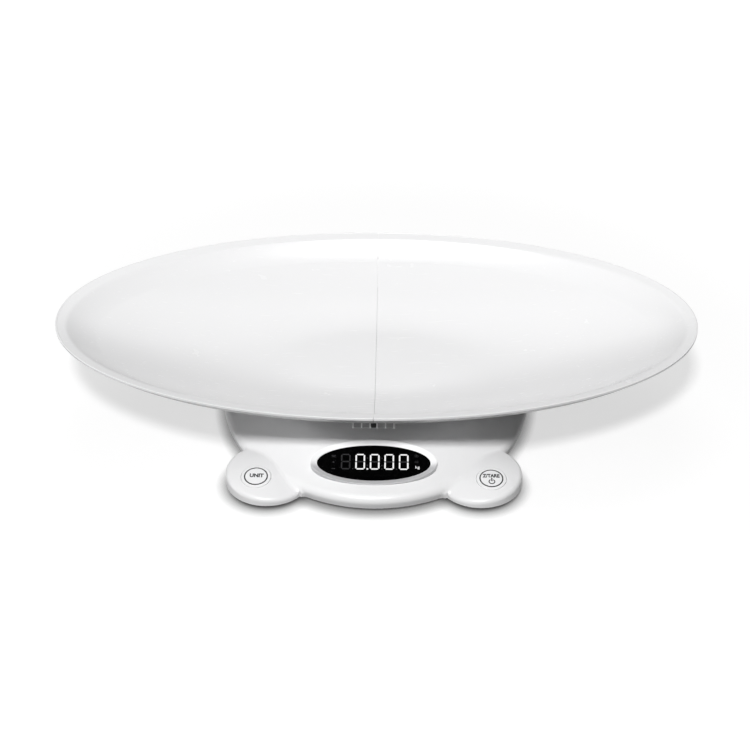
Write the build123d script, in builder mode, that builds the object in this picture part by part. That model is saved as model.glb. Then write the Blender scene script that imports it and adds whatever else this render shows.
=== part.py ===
from build123d import *
import os
from math import atan2, cos, pi, sin, sqrt, tan

# Digital baby weighing scale: a two-piece oval tray that lifts off a four-footed
# weighing base. Millimetres, +Z up. The origin is on the floor under the middle
# of the tray, +X runs along the tray and the display faces -Y.

# ---------------------------------------------------------------- driving sizes
# tray
tray_length = 580.0
tray_width = 310.0
tray_height = 88.0  # floor to the top of the rim
tray_wall = 3.0
lip_width = 9.0  # the flared band round the bowl
lip_drop = 5.0  # how far that band falls inwards
lip_edge = 2.2  # thickness of the lip's outer edge
lip_land = 1.2  # narrow flat crest of the lip
lip_round = 0.5
bowl_flat_radius = 84.0  # flat middle of the bowl, along the tray
seam_gap = 0.6  # between the two halves
seat_rib_height = 1.0  # bowl underside to the deck
skirt_drop = 4.0
skirt_wall = 3.2
seat_rib_inset = 10.0  # from the deck's edge
rib_wall = 2.4
rib_depth = 6.0
rib_reach = 0.62  # share of the bowl the ribs run under
rib_angles = (-62.0, -34.0, 0.0, 34.0, 62.0)

# coupler blocks and clips at the two ends of the seam
block_length = 15.5
block_depth = 6.0
block_bottom = 68.5
block_from_edge = 14.0  # rim's outer edge to the block's face
block_gap = 4.6
block_wall = 0.7
block_rib_width = 1.2
block_rib_proud = 1.0
clip_height = 2.0
clip_thickness = 2.0
clip_reach = 12.0
clip_clearance = 0.15
clip_collar_depth = 5.0

# base housing
base_length = 285.0
base_depth = 346.0
base_bottom = 5.0  # ground clearance
edge_height = 15.5  # where side and slope would meet
edge_round = 7.0
side_draft = 2.0
shoulder_height = 33.4  # the flat round the deck
shoulder_length = 192.0
shoulder_round = 30.0
housing_wall = 2.5
deck_height = 38.0
deck_length = 172.0
deck_round = 1.5
deck_clearance = 0.6

# button lobes
lobe_x = 91.5
lobe_from_front = 41.3  # base's front edge to a lobe's middle
lobe_radius = 36.8
lobe_crown_from_front = 46.0
lobe_crown_height = 19.2
lobe_crown_radius = 120.0
lobe_round = 4.0
crease_round = 8.0  # soft run of the lobes into the dome

# buttons
button_x = 101.0
button_from_front = 29.0
button_radius = 12.8
button_clearance = 0.35
button_proud = 0.3
button_round = 0.3
button_flange = 1.2
button_flange_thickness = 1.4  # at its middle, under the curved lobe
button_flange_gap = 0.3
button_travel = 0.6
switch_size = 6.0
switch_height = 1.6
plunger_radius = 1.7
plunger_clearance = 0.05
plunger_length = 1.6
plunger_gap = 0.2
key_board_length = 39.0
key_board_width = 11.0
key_board_thickness = 0.8
key_board_screw_pitch = 33.6

# display
display_from_front = 37.5
window_length = 97.8
window_width = 37.1
window_thickness = 2.0
window_overlap = 1.5  # lens edge hidden under the bezel
lens_clearance = 0.1
bezel_end_band = 5.7
bezel_side_band = 5.0
bezel_edge = 0.9
bezel_proud = 1.0
bezel_round = 0.4
bezel_lip = 0.6  # upright wall round the window's opening
funnel_depth = 1.6
bezel_sleeve = 1.6
bezel_clearance = 0.3
lcd_length = 84.0
lcd_width = 24.0
lcd_thickness = 2.6
backlight_length = 78.0
backlight_width = 22.0
backlight_thickness = 4.0
main_board_length = 96.0
main_board_width = 38.0
board_thickness = 1.6
board_screw_pitch_x = 90.0
board_screw_pitch_y = 31.0
chip_sizes = ((14.0, 14.0, 1.8), (10.0, 6.0, 1.5), (9.0, 6.0, 1.5))
chip_places = ((0.0, 2.0), (-22.0, -6.0), (22.0, 6.0))

# bottom housing
floor_thickness = 2.5
rim_wall = 2.0
rim_height = 2.0
rim_clearance = 0.8

# feet and load cells
foot_from_side = 66.5
foot_from_front = 88.0
pad_lift = 1.5  # how far the pad keeps the foot off the floor
pad_radius = 18.5
pad_recess = 0.6
pad_round = 0.5
pad_clearance = 0.1
foot_radius = 22.0
foot_height = 7.0
foot_round = 1.5
foot_floor = 3.0
foot_rim = 2.0
foot_boss_radius = 5.0
foot_boss_height = 1.5
well_radius = 24.6
well_wall = 2.4
well_ceiling = 2.5
cell_size = 34.0
cell_thickness = 3.0
cell_corner = 3.0
cell_slot_inset = 4.5
cell_tongue_width = 13.0
cell_tongue_bridge = 2.0
seat_clearance = 0.3
seat_skirt = 0.5
seat_cap = 2.0
seat_hole_radius = 9.0
post_wall = 2.0
post_radius = 22.0

# battery bay
battery_radius = 5.25
battery_length = 43.3
battery_cap_radius = 1.9
battery_cap_length = 1.2
battery_count = 4
battery_pitch = 11.0
battery_gap = 0.3
bay_y = 44.0
bay_wall = 3.6
bay_ceiling = 2.0
bay_margin_front = 2.0
bay_margin_back = 3.5
spring_radius = 3.4
spring_wire = 0.7
spring_length = 2.9
contact_thickness = 0.5
contact_width = 8.0
contact_height = 9.0
door_thickness = 2.4
door_clearance = 0.4
door_pin_radius = 0.8
door_pin_length = 1.2
door_pin_clearance = 0.05
door_latch_width = 12.0
door_latch_thickness = 1.2
door_latch_height = 4.0
door_latch_inset = 3.2
door_grip_radius = 8.0
door_grip_depth = 1.4

# fasteners
screw_radius = 1.4
screw_head_radius = 2.7
screw_head_height = 1.8
screw_clearance = 0.05
screw_boss_radius = 3.6
screw_bite = 5.0  # length in the top housing's boss
screw_back_y = 158.0
screw_side_places = ((118.0, 60.0), (118.0, -55.0), (58.0, -146.0))
pillar_radius = 4.8
pillar_height = 5.5
counterbore_depth = 3.6
small_screw_radius = 0.9
small_screw_head_radius = 1.8
small_screw_head_height = 1.0
small_screw_length = 4.0
small_boss_radius = 2.4

# ---------------------------------------------------------------- derived sizes
rim_radius = tray_length / 2
bowl_radius = rim_radius - lip_width
bowl_top = tray_height - lip_drop
bowl_floor = deck_height + seat_rib_height + tray_wall
tray_squeeze = tray_width / tray_length
base_stretch = base_depth / base_length
deck_radius = deck_length / 2
skirt_radius = deck_radius + deck_clearance
skirt_bottom = deck_height - skirt_drop
base_radius = base_length / 2
base_front = -base_depth / 2
lobe_y = base_front + lobe_from_front
button_y = base_front + button_from_front
display_y = base_front + display_from_front
foot_x = base_radius - foot_from_side
foot_y = -base_front - foot_from_front
shoulder_radius = shoulder_length / 2
floor_top = base_bottom + floor_thickness
floor_x = base_radius - side_draft - housing_wall - rim_clearance
floor_y = (base_radius - side_draft - housing_wall) * base_stretch - rim_clearance
lobe_floor_radius = lobe_radius - housing_wall - rim_clearance
pieces = {}


# ---------------------------------------------------------------- tray
# The tray is drawn round, tray_length across, and squeezed to its width at the end,
# so across() turns a real distance along Y into the round drawing's.
def across(distance):
    """A real distance along Y, as it stands in the round drawing of the tray."""
    return distance / tray_squeeze


def bowl_line(lowered):
    """Bowl's curve in the open line: flat middle, then a parabola up to the crease."""
    floor = bowl_floor - lowered
    Line((0, floor), (bowl_flat_radius, floor))
    Bezier((bowl_flat_radius, floor), ((bowl_flat_radius + bowl_radius) / 2, floor),
           (bowl_radius, bowl_top - lowered))


with BuildPart() as bowl_shell:
    with BuildSketch(Plane.XZ):
        with BuildLine():
            bowl_line(0)
            FilletPolyline((bowl_radius, bowl_top), (rim_radius - lip_land, tray_height),
                           (rim_radius, tray_height), (rim_radius, tray_height - lip_edge),
                           (bowl_radius, bowl_top - tray_wall), radius=lip_round)
            bowl_line(tray_wall)
            Line((0, bowl_floor), (0, bowl_floor - tray_wall))
        make_face()
    revolve(axis=Axis.Z)

with BuildPart() as bowl_above:
    with BuildSketch(Plane.XZ):
        with BuildLine():
            bowl_line(tray_wall / 2)
            Polyline((bowl_radius, bowl_top - tray_wall / 2), (rim_radius, tray_height - tray_wall / 2),
                     (rim_radius, 2 * tray_height), (0, 2 * tray_height), (0, bowl_floor - tray_wall / 2))
        make_face()
    revolve(axis=Axis.Z)

with BuildPart() as rib_space:
    with BuildSketch(Plane.XZ):
        with BuildLine():
            bowl_line(tray_wall + rib_depth)
            Polyline((bowl_radius, bowl_top - tray_wall - rib_depth), (bowl_radius, tray_height),
                     (0, tray_height), (0, bowl_floor - tray_wall - rib_depth))
        make_face()
    revolve(axis=Axis.Z)

block_face_y = tray_width / 2 - block_from_edge
clip_low = block_bottom + block_wall
clip_y = block_face_y - block_wall - clip_clearance - clip_thickness / 2

with BuildPart() as ribs:
    with BuildSketch(Plane.XY.offset(skirt_bottom)):
        for angle in rib_angles:
            with Locations(Rot(0, 0, angle), Rot(0, 0, angle + 180)):
                Rectangle(bowl_radius * rib_reach, rib_wall, align=(Align.MIN, Align.CENTER))
        Rectangle(seam_gap + 2 * rib_wall, 2 * bowl_radius)
        Circle(bowl_radius * rib_reach, mode=Mode.INTERSECT)
        Circle(skirt_radius + skirt_wall / 2, mode=Mode.SUBTRACT)
    extrude(amount=tray_height - skirt_bottom)
    add(rib_space.part, mode=Mode.INTERSECT)

with BuildPart() as under_tray:
    add(ribs.part)
    with BuildSketch(Plane.XY.offset(skirt_bottom)):
        Circle(skirt_radius + skirt_wall)
        Circle(skirt_radius, mode=Mode.SUBTRACT)
    extrude(amount=tray_height - skirt_bottom)
    with BuildSketch(Plane.XY.offset(deck_height)):
        Circle(deck_radius - seat_rib_inset)
        Circle(deck_radius - seat_rib_inset - rib_wall, mode=Mode.SUBTRACT)
    extrude(amount=tray_height - deck_height)
    for end in (-1, 1):
        for side in (-1, 1):
            block_x = side * (block_gap + block_length) / 2
            with BuildSketch(Plane.XY.offset(block_bottom)):
                with Locations((block_x, end * across(block_face_y - block_depth / 2))):
                    Rectangle(block_length, across(block_depth))
                with Locations((block_x, end * across(block_face_y))):
                    with GridLocations((block_length - block_rib_width) / 2, 0, 3, 1):
                        Rectangle(block_rib_width, across(2 * block_rib_proud))
            extrude(amount=tray_height - block_bottom)
    add(bowl_above.part, mode=Mode.SUBTRACT)
    for end in (-1, 1):
        with Locations((0, end * across(clip_y), clip_low)):
            Box(2 * (clip_reach + clip_clearance) + block_gap, across(clip_thickness + 2 * clip_clearance),
                clip_height + clip_clearance, align=(Align.CENTER, Align.CENTER, Align.MIN),
                mode=Mode.SUBTRACT)

for side, name in ((-1, "tray_left"), (1, "tray_right")):
    with BuildPart() as half:
        add(bowl_shell.part)
        add(under_tray.part)
        split(bisect_by=Plane.YZ.offset(side * seam_gap / 2),
              keep=Keep.TOP if side == 1 else Keep.BOTTOM)
        scale(by=(1, tray_squeeze, 1))
    pieces[name] = half.part

# Clips that hold the halves together: a tongue in both blocks and a collar between them.
with BuildPart() as clip_limit:
    with BuildSketch(Plane.XZ):
        with BuildLine():
            bowl_line(tray_wall + clip_clearance)
            Polyline((bowl_radius, bowl_top - tray_wall - clip_clearance),
                     (rim_radius, tray_height - lip_edge - clip_clearance), (rim_radius, tray_height),
                     (0, tray_height), (0, bowl_floor - tray_wall - clip_clearance))
        make_face()
    revolve(axis=Axis.Z)

for end, name in ((-1, "seam_clip_front"), (1, "seam_clip_back")):
    with BuildPart() as clip:
        with BuildSketch(Plane.XY.offset(clip_low)):
            with Locations((0, end * across(clip_y))):
                Rectangle(2 * clip_reach + block_gap, across(clip_thickness))
        extrude(amount=clip_height)
        with BuildSketch(Plane.XY.offset(block_bottom)):
            with Locations((0, end * across(block_face_y - clip_collar_depth / 2))):
                Rectangle(block_gap - 2 * clip_clearance, across(clip_collar_depth))
        extrude(amount=tray_height - block_bottom)
        add(clip_limit.part, mode=Mode.SUBTRACT)
        scale(by=(1, tray_squeeze, 1))
    pieces[name] = clip.part

# ---------------------------------------------------------------- base housing forms
slope_angle = atan2(shoulder_height - edge_height, base_radius - shoulder_radius)
edge_shift = tan((pi / 2 - slope_angle) / 2)
shoulder_shift = tan(slope_angle / 2)

front_tilt = atan2(tan(slope_angle), base_stretch)
display_z = edge_height + (base_depth / 2 + display_y) * tan(front_tilt)
display_plane = Plane(origin=(0, display_y, display_z), x_dir=(1, 0, 0),
                      z_dir=(0, -sin(front_tilt), cos(front_tilt)))

crown_centre = Vector(button_x, base_front + lobe_crown_from_front, lobe_crown_height - lobe_crown_radius)
button_offset = Vector(0, button_y - crown_centre.Y, 0)
button_rise = sqrt(lobe_crown_radius**2 - button_offset.length**2)
button_normal = (button_offset + Vector(0, 0, button_rise)).normalized()
button_centre = crown_centre + button_normal * lobe_crown_radius


def button_plane(side, depth):
    """Plane across a button's axis, depth below the lobe's skin; side is -1 or 1."""
    place = button_centre - button_normal * depth
    return Plane(origin=(side * place.X, place.Y, place.Z),
                 x_dir=(button_normal.Z, 0, -side * button_normal.X),
                 z_dir=(side * button_normal.X, button_normal.Y, button_normal.Z))


def dome_solid(inset, low):
    """Filled oval dome of the base from height low up, inset all round from its skin."""
    with BuildPart() as dome:
        with BuildSketch(Plane.XZ):
            with BuildLine():
                FilletPolyline(
                    (base_radius - side_draft - inset, low),
                    (base_radius - inset, edge_height - inset * edge_shift),
                    (shoulder_radius - inset * shoulder_shift, shoulder_height - inset),
                    (0, shoulder_height - inset), radius=[edge_round - inset, shoulder_round])
                Polyline((0, shoulder_height - inset), (0, low),
                         (base_radius - side_draft - inset, low))
            make_face()
        revolve(axis=Axis.Z)
        scale(by=(1, base_stretch, 1))
    return dome.part


def lobe_solid(inset, low, side):
    """Filled button lobe from height low up: an upright round under an off-centre dome."""
    with BuildPart() as lobe:
        with Locations((side * lobe_x, lobe_y, low)):
            Cylinder(lobe_radius - inset, lobe_crown_height,
                     align=(Align.CENTER, Align.CENTER, Align.MIN))
        with Locations((side * crown_centre.X, crown_centre.Y, crown_centre.Z)):
            Sphere(lobe_crown_radius - inset, mode=Mode.INTERSECT)
        fillet(lobe.faces().filter_by(GeomType.SPHERE).edges(), radius=lobe_round - inset / 2)
    return lobe.part


def housing_solid(inset, low):
    """Filled outline of the whole housing: the dome and both lobes."""
    with BuildPart() as body:
        add(dome_solid(inset, low))
        for side in (-1, 1):
            add(lobe_solid(inset, low, side))
    return body.part


def both_sides(points):
    """Each point and its mirror image across the YZ plane."""
    return [(side * x, y) for x, y in points for side in (-1, 1)]


foot_places = {"front_left": (-foot_x, -foot_y), "front_right": (foot_x, -foot_y),
               "back_left": (-foot_x, foot_y), "back_right": (foot_x, foot_y)}
foot_spots = list(foot_places.values())
screw_spots = [(0, screw_back_y), *both_sides(screw_side_places)]

window_x = window_length / 2
window_y = window_width / 2
bezel_x = window_x + bezel_end_band
bezel_y = window_y + bezel_side_band
lens_x = window_x + window_overlap
lens_y = window_y + window_overlap
sleeve_x = lens_x + bezel_sleeve
sleeve_y = lens_y + bezel_sleeve
lens_depth = funnel_depth - bezel_proud + bezel_lip
lcd_depth = lens_depth + window_thickness
backlight_depth = lcd_depth + lcd_thickness
board_depth = backlight_depth + backlight_thickness
board_screws = both_sides([(board_screw_pitch_x / 2, board_screw_pitch_y / 2),
                           (board_screw_pitch_x / 2, -board_screw_pitch_y / 2)])

flange_depth = housing_wall + button_flange_gap
stem_depth = flange_depth + button_flange_thickness
switch_depth = stem_depth + button_travel + plunger_gap
key_board_depth = switch_depth + switch_height
key_screws = [(-key_board_screw_pitch / 2, 0), (key_board_screw_pitch / 2, 0)]

pillar_top = base_bottom + pillar_height
cell_bottom = pad_lift + foot_height + foot_boss_height
cell_top = cell_bottom + cell_thickness
seat_top = cell_top + seat_cap
seat_bottom = cell_bottom - seat_skirt
well_top = seat_top + well_ceiling

# ---------------------------------------------------------------- top housing
# The lobes run softly into the dome, and the plan outline keeps the notches between
# them and the base's edge sharp.
with BuildPart() as soft_skin:
    dome, lobes = dome_solid(0, base_bottom), [lobe_solid(0, base_bottom, side) for side in (-1, 1)]
    add([dome, *lobes])
    fillet(new_edges(dome, *lobes, combined=soft_skin.part), radius=crease_round)
    with BuildSketch(Plane.XY.offset(base_bottom)):
        Ellipse(base_radius, base_depth / 2)
        with Locations(*both_sides([(lobe_x, lobe_y)])):
            Circle(lobe_radius)
    extrude(amount=shoulder_height, mode=Mode.INTERSECT)
housing_skin = soft_skin.part
housing_hollow = housing_solid(housing_wall, 0)

with BuildPart() as inner_posts:
    with BuildSketch(Plane.XY.offset(well_top)):
        with Locations(*foot_spots):
            Circle(post_radius)
            Circle(post_radius - post_wall, mode=Mode.SUBTRACT)
    extrude(amount=deck_height - well_top)
    with BuildSketch(Plane.XY.offset(pillar_top)):
        with Locations(*screw_spots):
            Circle(screw_boss_radius)
    extrude(amount=deck_height - pillar_top)
    with BuildSketch(display_plane.offset(-board_depth)):
        with Locations(*board_screws):
            Circle(small_boss_radius)
    extrude(amount=board_depth)
    for side in (-1, 1):
        with BuildSketch(button_plane(side, key_board_depth)):
            with Locations(*key_screws):
                Circle(small_boss_radius)
        extrude(amount=key_board_depth)
    add(housing_skin, mode=Mode.INTERSECT)

with BuildPart() as top_housing:
    add(housing_skin)
    add(housing_hollow, mode=Mode.SUBTRACT)
    with BuildSketch(Plane.XY.offset(shoulder_height - housing_wall)):
        Ellipse(deck_radius, deck_radius * tray_squeeze)
    extrude(amount=deck_height - shoulder_height + housing_wall)
    fillet(top_housing.edges().group_by(Axis.Z)[-1], radius=deck_round)
    with BuildSketch(Plane.XY.offset(shoulder_height - 2 * housing_wall)):
        Ellipse(deck_radius - housing_wall, deck_radius * tray_squeeze - housing_wall)
    extrude(amount=deck_height - shoulder_height + housing_wall, mode=Mode.SUBTRACT)
    add(inner_posts.part)
    with BuildSketch(display_plane.offset(-board_depth)):
        Ellipse(sleeve_x + bezel_clearance, sleeve_y + bezel_clearance)
    extrude(amount=board_depth + bezel_proud, mode=Mode.SUBTRACT)
    for side in (-1, 1):
        with BuildSketch(button_plane(side, stem_depth)):
            Circle(button_radius + button_clearance)
        extrude(amount=stem_depth + button_proud, mode=Mode.SUBTRACT)
        with BuildSketch(button_plane(side, key_board_depth)):
            with Locations(*key_screws):
                Circle(small_screw_radius + screw_clearance)
        extrude(amount=small_screw_length - key_board_thickness + screw_clearance, mode=Mode.SUBTRACT)
    with BuildSketch(display_plane.offset(-board_depth)):
        with Locations(*board_screws):
            Circle(small_screw_radius + screw_clearance)
    extrude(amount=small_screw_length - board_thickness + screw_clearance, mode=Mode.SUBTRACT)
    with BuildSketch(Plane.XY.offset(pillar_top)):
        with Locations(*screw_spots):
            Circle(screw_radius + screw_clearance)
    extrude(amount=screw_bite + screw_clearance, mode=Mode.SUBTRACT)
pieces["top_housing"] = top_housing.part

# ---------------------------------------------------------------- bottom housing
bay_half_x = (battery_length + battery_cap_length + spring_length) / 2 + contact_thickness
bay_front = bay_y - battery_count * battery_pitch / 2 - bay_margin_front
bay_back = bay_y + battery_count * battery_pitch / 2 + bay_margin_back
bay_mid_y = (bay_front + bay_back) / 2
bay_length_y = bay_back - bay_front
battery_z = floor_top + battery_gap + battery_radius
bay_top = battery_z + battery_radius + battery_gap
door_ledge = bay_wall / 2
door_hinge_y = bay_front - door_ledge + door_clearance + door_thickness / 2
door_hinge_z = base_bottom + door_thickness / 2
door_back = bay_back + door_ledge - door_clearance
door_half_x = bay_half_x + door_ledge - door_clearance

with BuildPart() as bottom_housing:
    with BuildSketch(Plane.XY.offset(base_bottom)):
        Ellipse(floor_x, floor_y)
        with Locations(*both_sides([(lobe_x, lobe_y)])):
            Circle(lobe_floor_radius)
    extrude(amount=floor_thickness)
    with BuildSketch(Plane.XY.offset(floor_top)):
        Ellipse(floor_x, floor_y)
        Ellipse(floor_x - rim_wall, floor_y - rim_wall, mode=Mode.SUBTRACT)
        with Locations(*both_sides([(lobe_x, lobe_y)])):
            Circle(lobe_radius, mode=Mode.SUBTRACT)
    extrude(amount=rim_height)
    with BuildSketch(Plane.XY.offset(base_bottom)):
        with Locations(*foot_spots):
            Circle(well_radius + well_wall)
    extrude(amount=well_top - base_bottom)
    with BuildSketch(Plane.XY.offset(base_bottom)):
        with Locations(*screw_spots):
            Circle(pillar_radius)
    extrude(amount=pillar_height)
    with BuildSketch(Plane.XY.offset(floor_top)):
        with Locations((0, bay_mid_y)):
            Rectangle(2 * (bay_half_x + bay_wall), bay_length_y + 2 * bay_wall)
    extrude(amount=bay_top + bay_ceiling - floor_top)
    with BuildSketch(Plane.XY.offset(base_bottom)):
        with Locations(*foot_spots):
            Circle(well_radius)
    extrude(amount=seat_top - base_bottom, mode=Mode.SUBTRACT)
    with BuildSketch(Plane.XY.offset(base_bottom)):
        with Locations((0, bay_mid_y)):
            Rectangle(2 * bay_half_x, bay_length_y)
    extrude(amount=bay_top - base_bottom, mode=Mode.SUBTRACT)
    with BuildSketch(Plane.XY.offset(base_bottom)):
        with Locations((0, bay_mid_y)):
            Rectangle(2 * (bay_half_x + door_ledge), bay_length_y + 2 * door_ledge)
    extrude(amount=floor_thickness, mode=Mode.SUBTRACT)
    with BuildSketch(Plane.YZ.offset(-door_half_x - door_pin_length - door_clearance)):
        with Locations((door_hinge_y, door_hinge_z)):
            Circle(door_pin_radius + door_pin_clearance)
    extrude(amount=2 * (door_half_x + door_pin_length + door_clearance), mode=Mode.SUBTRACT)
    with BuildSketch(Plane.XY.offset(base_bottom)):
        with Locations(*screw_spots):
            Circle(screw_head_radius + door_clearance)
    extrude(amount=counterbore_depth, mode=Mode.SUBTRACT)
    with BuildSketch(Plane.XY.offset(base_bottom)):
        with Locations(*screw_spots):
            Circle(screw_radius + screw_clearance)
    extrude(amount=pillar_height, mode=Mode.SUBTRACT)
    with BuildSketch(Plane.XY.offset(base_bottom)):
        with Locations((0, bay_back + door_ledge)):
            Circle(door_grip_radius)
        with Locations((0, bay_mid_y)):
            Rectangle(2 * bay_half_x, bay_length_y + 2 * door_ledge, mode=Mode.SUBTRACT)
    extrude(amount=door_grip_depth, mode=Mode.SUBTRACT)
pieces["bottom_housing"] = bottom_housing.part

with BuildPart() as battery_door:
    with BuildSketch(Plane.YZ.offset(-door_half_x)):
        with BuildLine():
            Line((door_hinge_y, base_bottom), (door_back, base_bottom))
            Line((door_back, base_bottom), (door_back, base_bottom + door_thickness))
            Line((door_back, base_bottom + door_thickness), (door_hinge_y, base_bottom + door_thickness))
            ThreePointArc((door_hinge_y, base_bottom + door_thickness),
                          (door_hinge_y - door_thickness / 2, door_hinge_z),
                          (door_hinge_y, base_bottom))
        make_face()
    extrude(amount=2 * door_half_x)
    with BuildSketch(Plane.YZ.offset(-door_half_x - door_pin_length)):
        with Locations((door_hinge_y, door_hinge_z)):
            Circle(door_pin_radius)
    extrude(amount=2 * (door_half_x + door_pin_length))
    with BuildSketch(Plane.XY.offset(base_bottom + door_thickness)):
        with Locations((0, door_back - door_latch_inset)):
            Rectangle(door_latch_width, door_latch_thickness)
    extrude(amount=door_latch_height)
pieces["battery_door"] = battery_door.part

# ---------------------------------------------------------------- batteries and contacts
battery_rows = [(bay_y + (row - (battery_count - 1) / 2) * battery_pitch, 1 if row % 2 else -1)
                for row in range(battery_count)]
cap_end = bay_half_x - contact_thickness
for number, (row_y, toward) in enumerate(battery_rows, start=1):
    with BuildPart() as battery:
        with BuildSketch(Plane.YZ.offset(toward * cap_end)):
            with Locations((row_y, battery_z)):
                Circle(battery_cap_radius)
        extrude(amount=-toward * battery_cap_length)
        with BuildSketch(Plane.YZ.offset(toward * (cap_end - battery_cap_length))):
            with Locations((row_y, battery_z)):
                Circle(battery_radius)
        extrude(amount=-toward * battery_length)
    pieces[f"battery_{number}"] = battery.part

with BuildPart() as contact_springs:
    for row_y, toward in battery_rows:
        with BuildSketch(Plane.YZ.offset(-toward * cap_end)):
            with Locations((row_y, battery_z)):
                Circle(spring_radius)
                Circle(spring_radius - spring_wire, mode=Mode.SUBTRACT)
        extrude(amount=toward * spring_length)
pieces["contact_springs"] = contact_springs.part

with BuildPart() as contact_plates:
    for row_y, toward in battery_rows:
        for side in (-1, 1):
            with Locations((side * (cap_end + contact_thickness / 2), row_y, battery_z)):
                Box(contact_thickness, contact_width, contact_height)
pieces["contact_plates"] = contact_plates.part

# ---------------------------------------------------------------- feet and load cells
for corner, (x, y) in foot_places.items():
    with BuildPart() as foot:
        with BuildSketch(Plane.XY.offset(pad_lift)):
            with Locations((x, y)):
                Circle(foot_radius)
        extrude(amount=foot_height)
        fillet(foot.edges().group_by(Axis.Z)[0], radius=foot_round)
        with BuildSketch(Plane.XY.offset(pad_lift)):
            with Locations((x, y)):
                Circle(pad_radius + pad_clearance)
        extrude(amount=pad_recess, mode=Mode.SUBTRACT)
        with BuildSketch(Plane.XY.offset(pad_lift + foot_floor)):
            with Locations((x, y)):
                Circle(foot_radius - foot_rim)
                Circle(foot_boss_radius + foot_rim, mode=Mode.SUBTRACT)
        extrude(amount=foot_height - foot_floor, mode=Mode.SUBTRACT)
        with BuildSketch(Plane.XY.offset(pad_lift + foot_height)):
            with Locations((x, y)):
                Circle(foot_boss_radius)
        extrude(amount=foot_boss_height)
    pieces[f"foot_{corner}"] = foot.part

    with BuildPart() as foot_pad:
        with BuildSketch():
            with Locations((x, y)):
                Circle(pad_radius)
        extrude(amount=pad_lift + pad_recess)
        fillet(foot_pad.edges().group_by(Axis.Z)[0], radius=pad_round)
    pieces[f"foot_pad_{corner}"] = foot_pad.part

    with BuildPart() as load_cell:
        with BuildSketch(Plane.XY.offset(cell_bottom)):
            with Locations((x, y)):
                RectangleRounded(cell_size, cell_size, cell_corner)
                Rectangle(cell_size - 2 * cell_slot_inset, cell_size - 2 * cell_slot_inset,
                          mode=Mode.SUBTRACT)
            with Locations((x, y + cell_tongue_bridge / 2)):
                Rectangle(cell_tongue_width, cell_size - 2 * cell_slot_inset - cell_tongue_bridge)
            with Locations((x, y - cell_size / 2 + cell_slot_inset)):
                Rectangle(cell_size - 2 * cell_slot_inset, 2 * cell_slot_inset)
        extrude(amount=cell_thickness)
    pieces[f"load_cell_{corner}"] = load_cell.part

    with BuildPart() as seat:
        with BuildSketch(Plane.XY.offset(seat_bottom)):
            with Locations((x, y)):
                Circle(well_radius - seat_clearance)
                RectangleRounded(cell_size + 2 * seat_clearance, cell_size + 2 * seat_clearance,
                                 cell_corner + seat_clearance, mode=Mode.SUBTRACT)
        extrude(amount=cell_top - seat_bottom)
        with BuildSketch(Plane.XY.offset(cell_top)):
            with Locations((x, y)):
                Circle(well_radius - seat_clearance)
                Circle(seat_hole_radius, mode=Mode.SUBTRACT)
        extrude(amount=seat_cap)
    pieces[f"load_cell_seat_{corner}"] = seat.part

# ---------------------------------------------------------------- display
with BuildPart() as display_bezel:
    with BuildSketch(display_plane.offset(-board_depth)):
        Ellipse(bezel_x, bezel_y)
    extrude(amount=board_depth + bezel_proud)
    fillet(display_bezel.edges().sort_by(Axis.Z)[-1], radius=bezel_round)
    add(housing_skin, mode=Mode.SUBTRACT)
    with BuildSketch(display_plane.offset(-lcd_depth)):
        Ellipse(sleeve_x, sleeve_y)
    extrude(amount=lcd_depth)
    with BuildSketch(display_plane.offset(bezel_proud)):
        Ellipse(bezel_x - bezel_edge, bezel_y - bezel_edge)
    with BuildSketch(display_plane.offset(bezel_proud - funnel_depth)):
        Ellipse(window_x, window_y)
    loft(ruled=True, mode=Mode.SUBTRACT)
    with BuildSketch(display_plane.offset(-lcd_depth)):
        Ellipse(window_x, window_y)
    extrude(amount=lcd_depth, mode=Mode.SUBTRACT)
    with BuildSketch(display_plane.offset(-lcd_depth)):
        Ellipse(lens_x + lens_clearance, lens_y + lens_clearance)
    extrude(amount=window_thickness, mode=Mode.SUBTRACT)
pieces["display_bezel"] = display_bezel.part

with BuildPart() as display_window:
    with BuildSketch(display_plane.offset(-lcd_depth)):
        Ellipse(lens_x, lens_y)
    extrude(amount=window_thickness)
pieces["display_window"] = display_window.part

for name, depth, length, width, thickness in (
        ("lcd_panel", lcd_depth, lcd_length, lcd_width, lcd_thickness),
        ("backlight", backlight_depth, backlight_length, backlight_width, backlight_thickness)):
    with BuildPart() as layer:
        with BuildSketch(display_plane.offset(-depth - thickness)):
            Rectangle(length, width)
        extrude(amount=thickness)
    pieces[name] = layer.part

with BuildPart() as main_board:
    with BuildSketch(display_plane.offset(-board_depth - board_thickness)):
        Rectangle(main_board_length, main_board_width)
        with Locations(*board_screws):
            Circle(small_screw_radius + screw_clearance, mode=Mode.SUBTRACT)
    extrude(amount=board_thickness)
pieces["main_board"] = main_board.part

with BuildPart() as board_chips:
    for (length, width, height), place in zip(chip_sizes, chip_places):
        with BuildSketch(display_plane.offset(-board_depth - board_thickness - height)):
            with Locations(place):
                Rectangle(length, width)
        extrude(amount=height)
pieces["board_chips"] = board_chips.part

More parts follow.
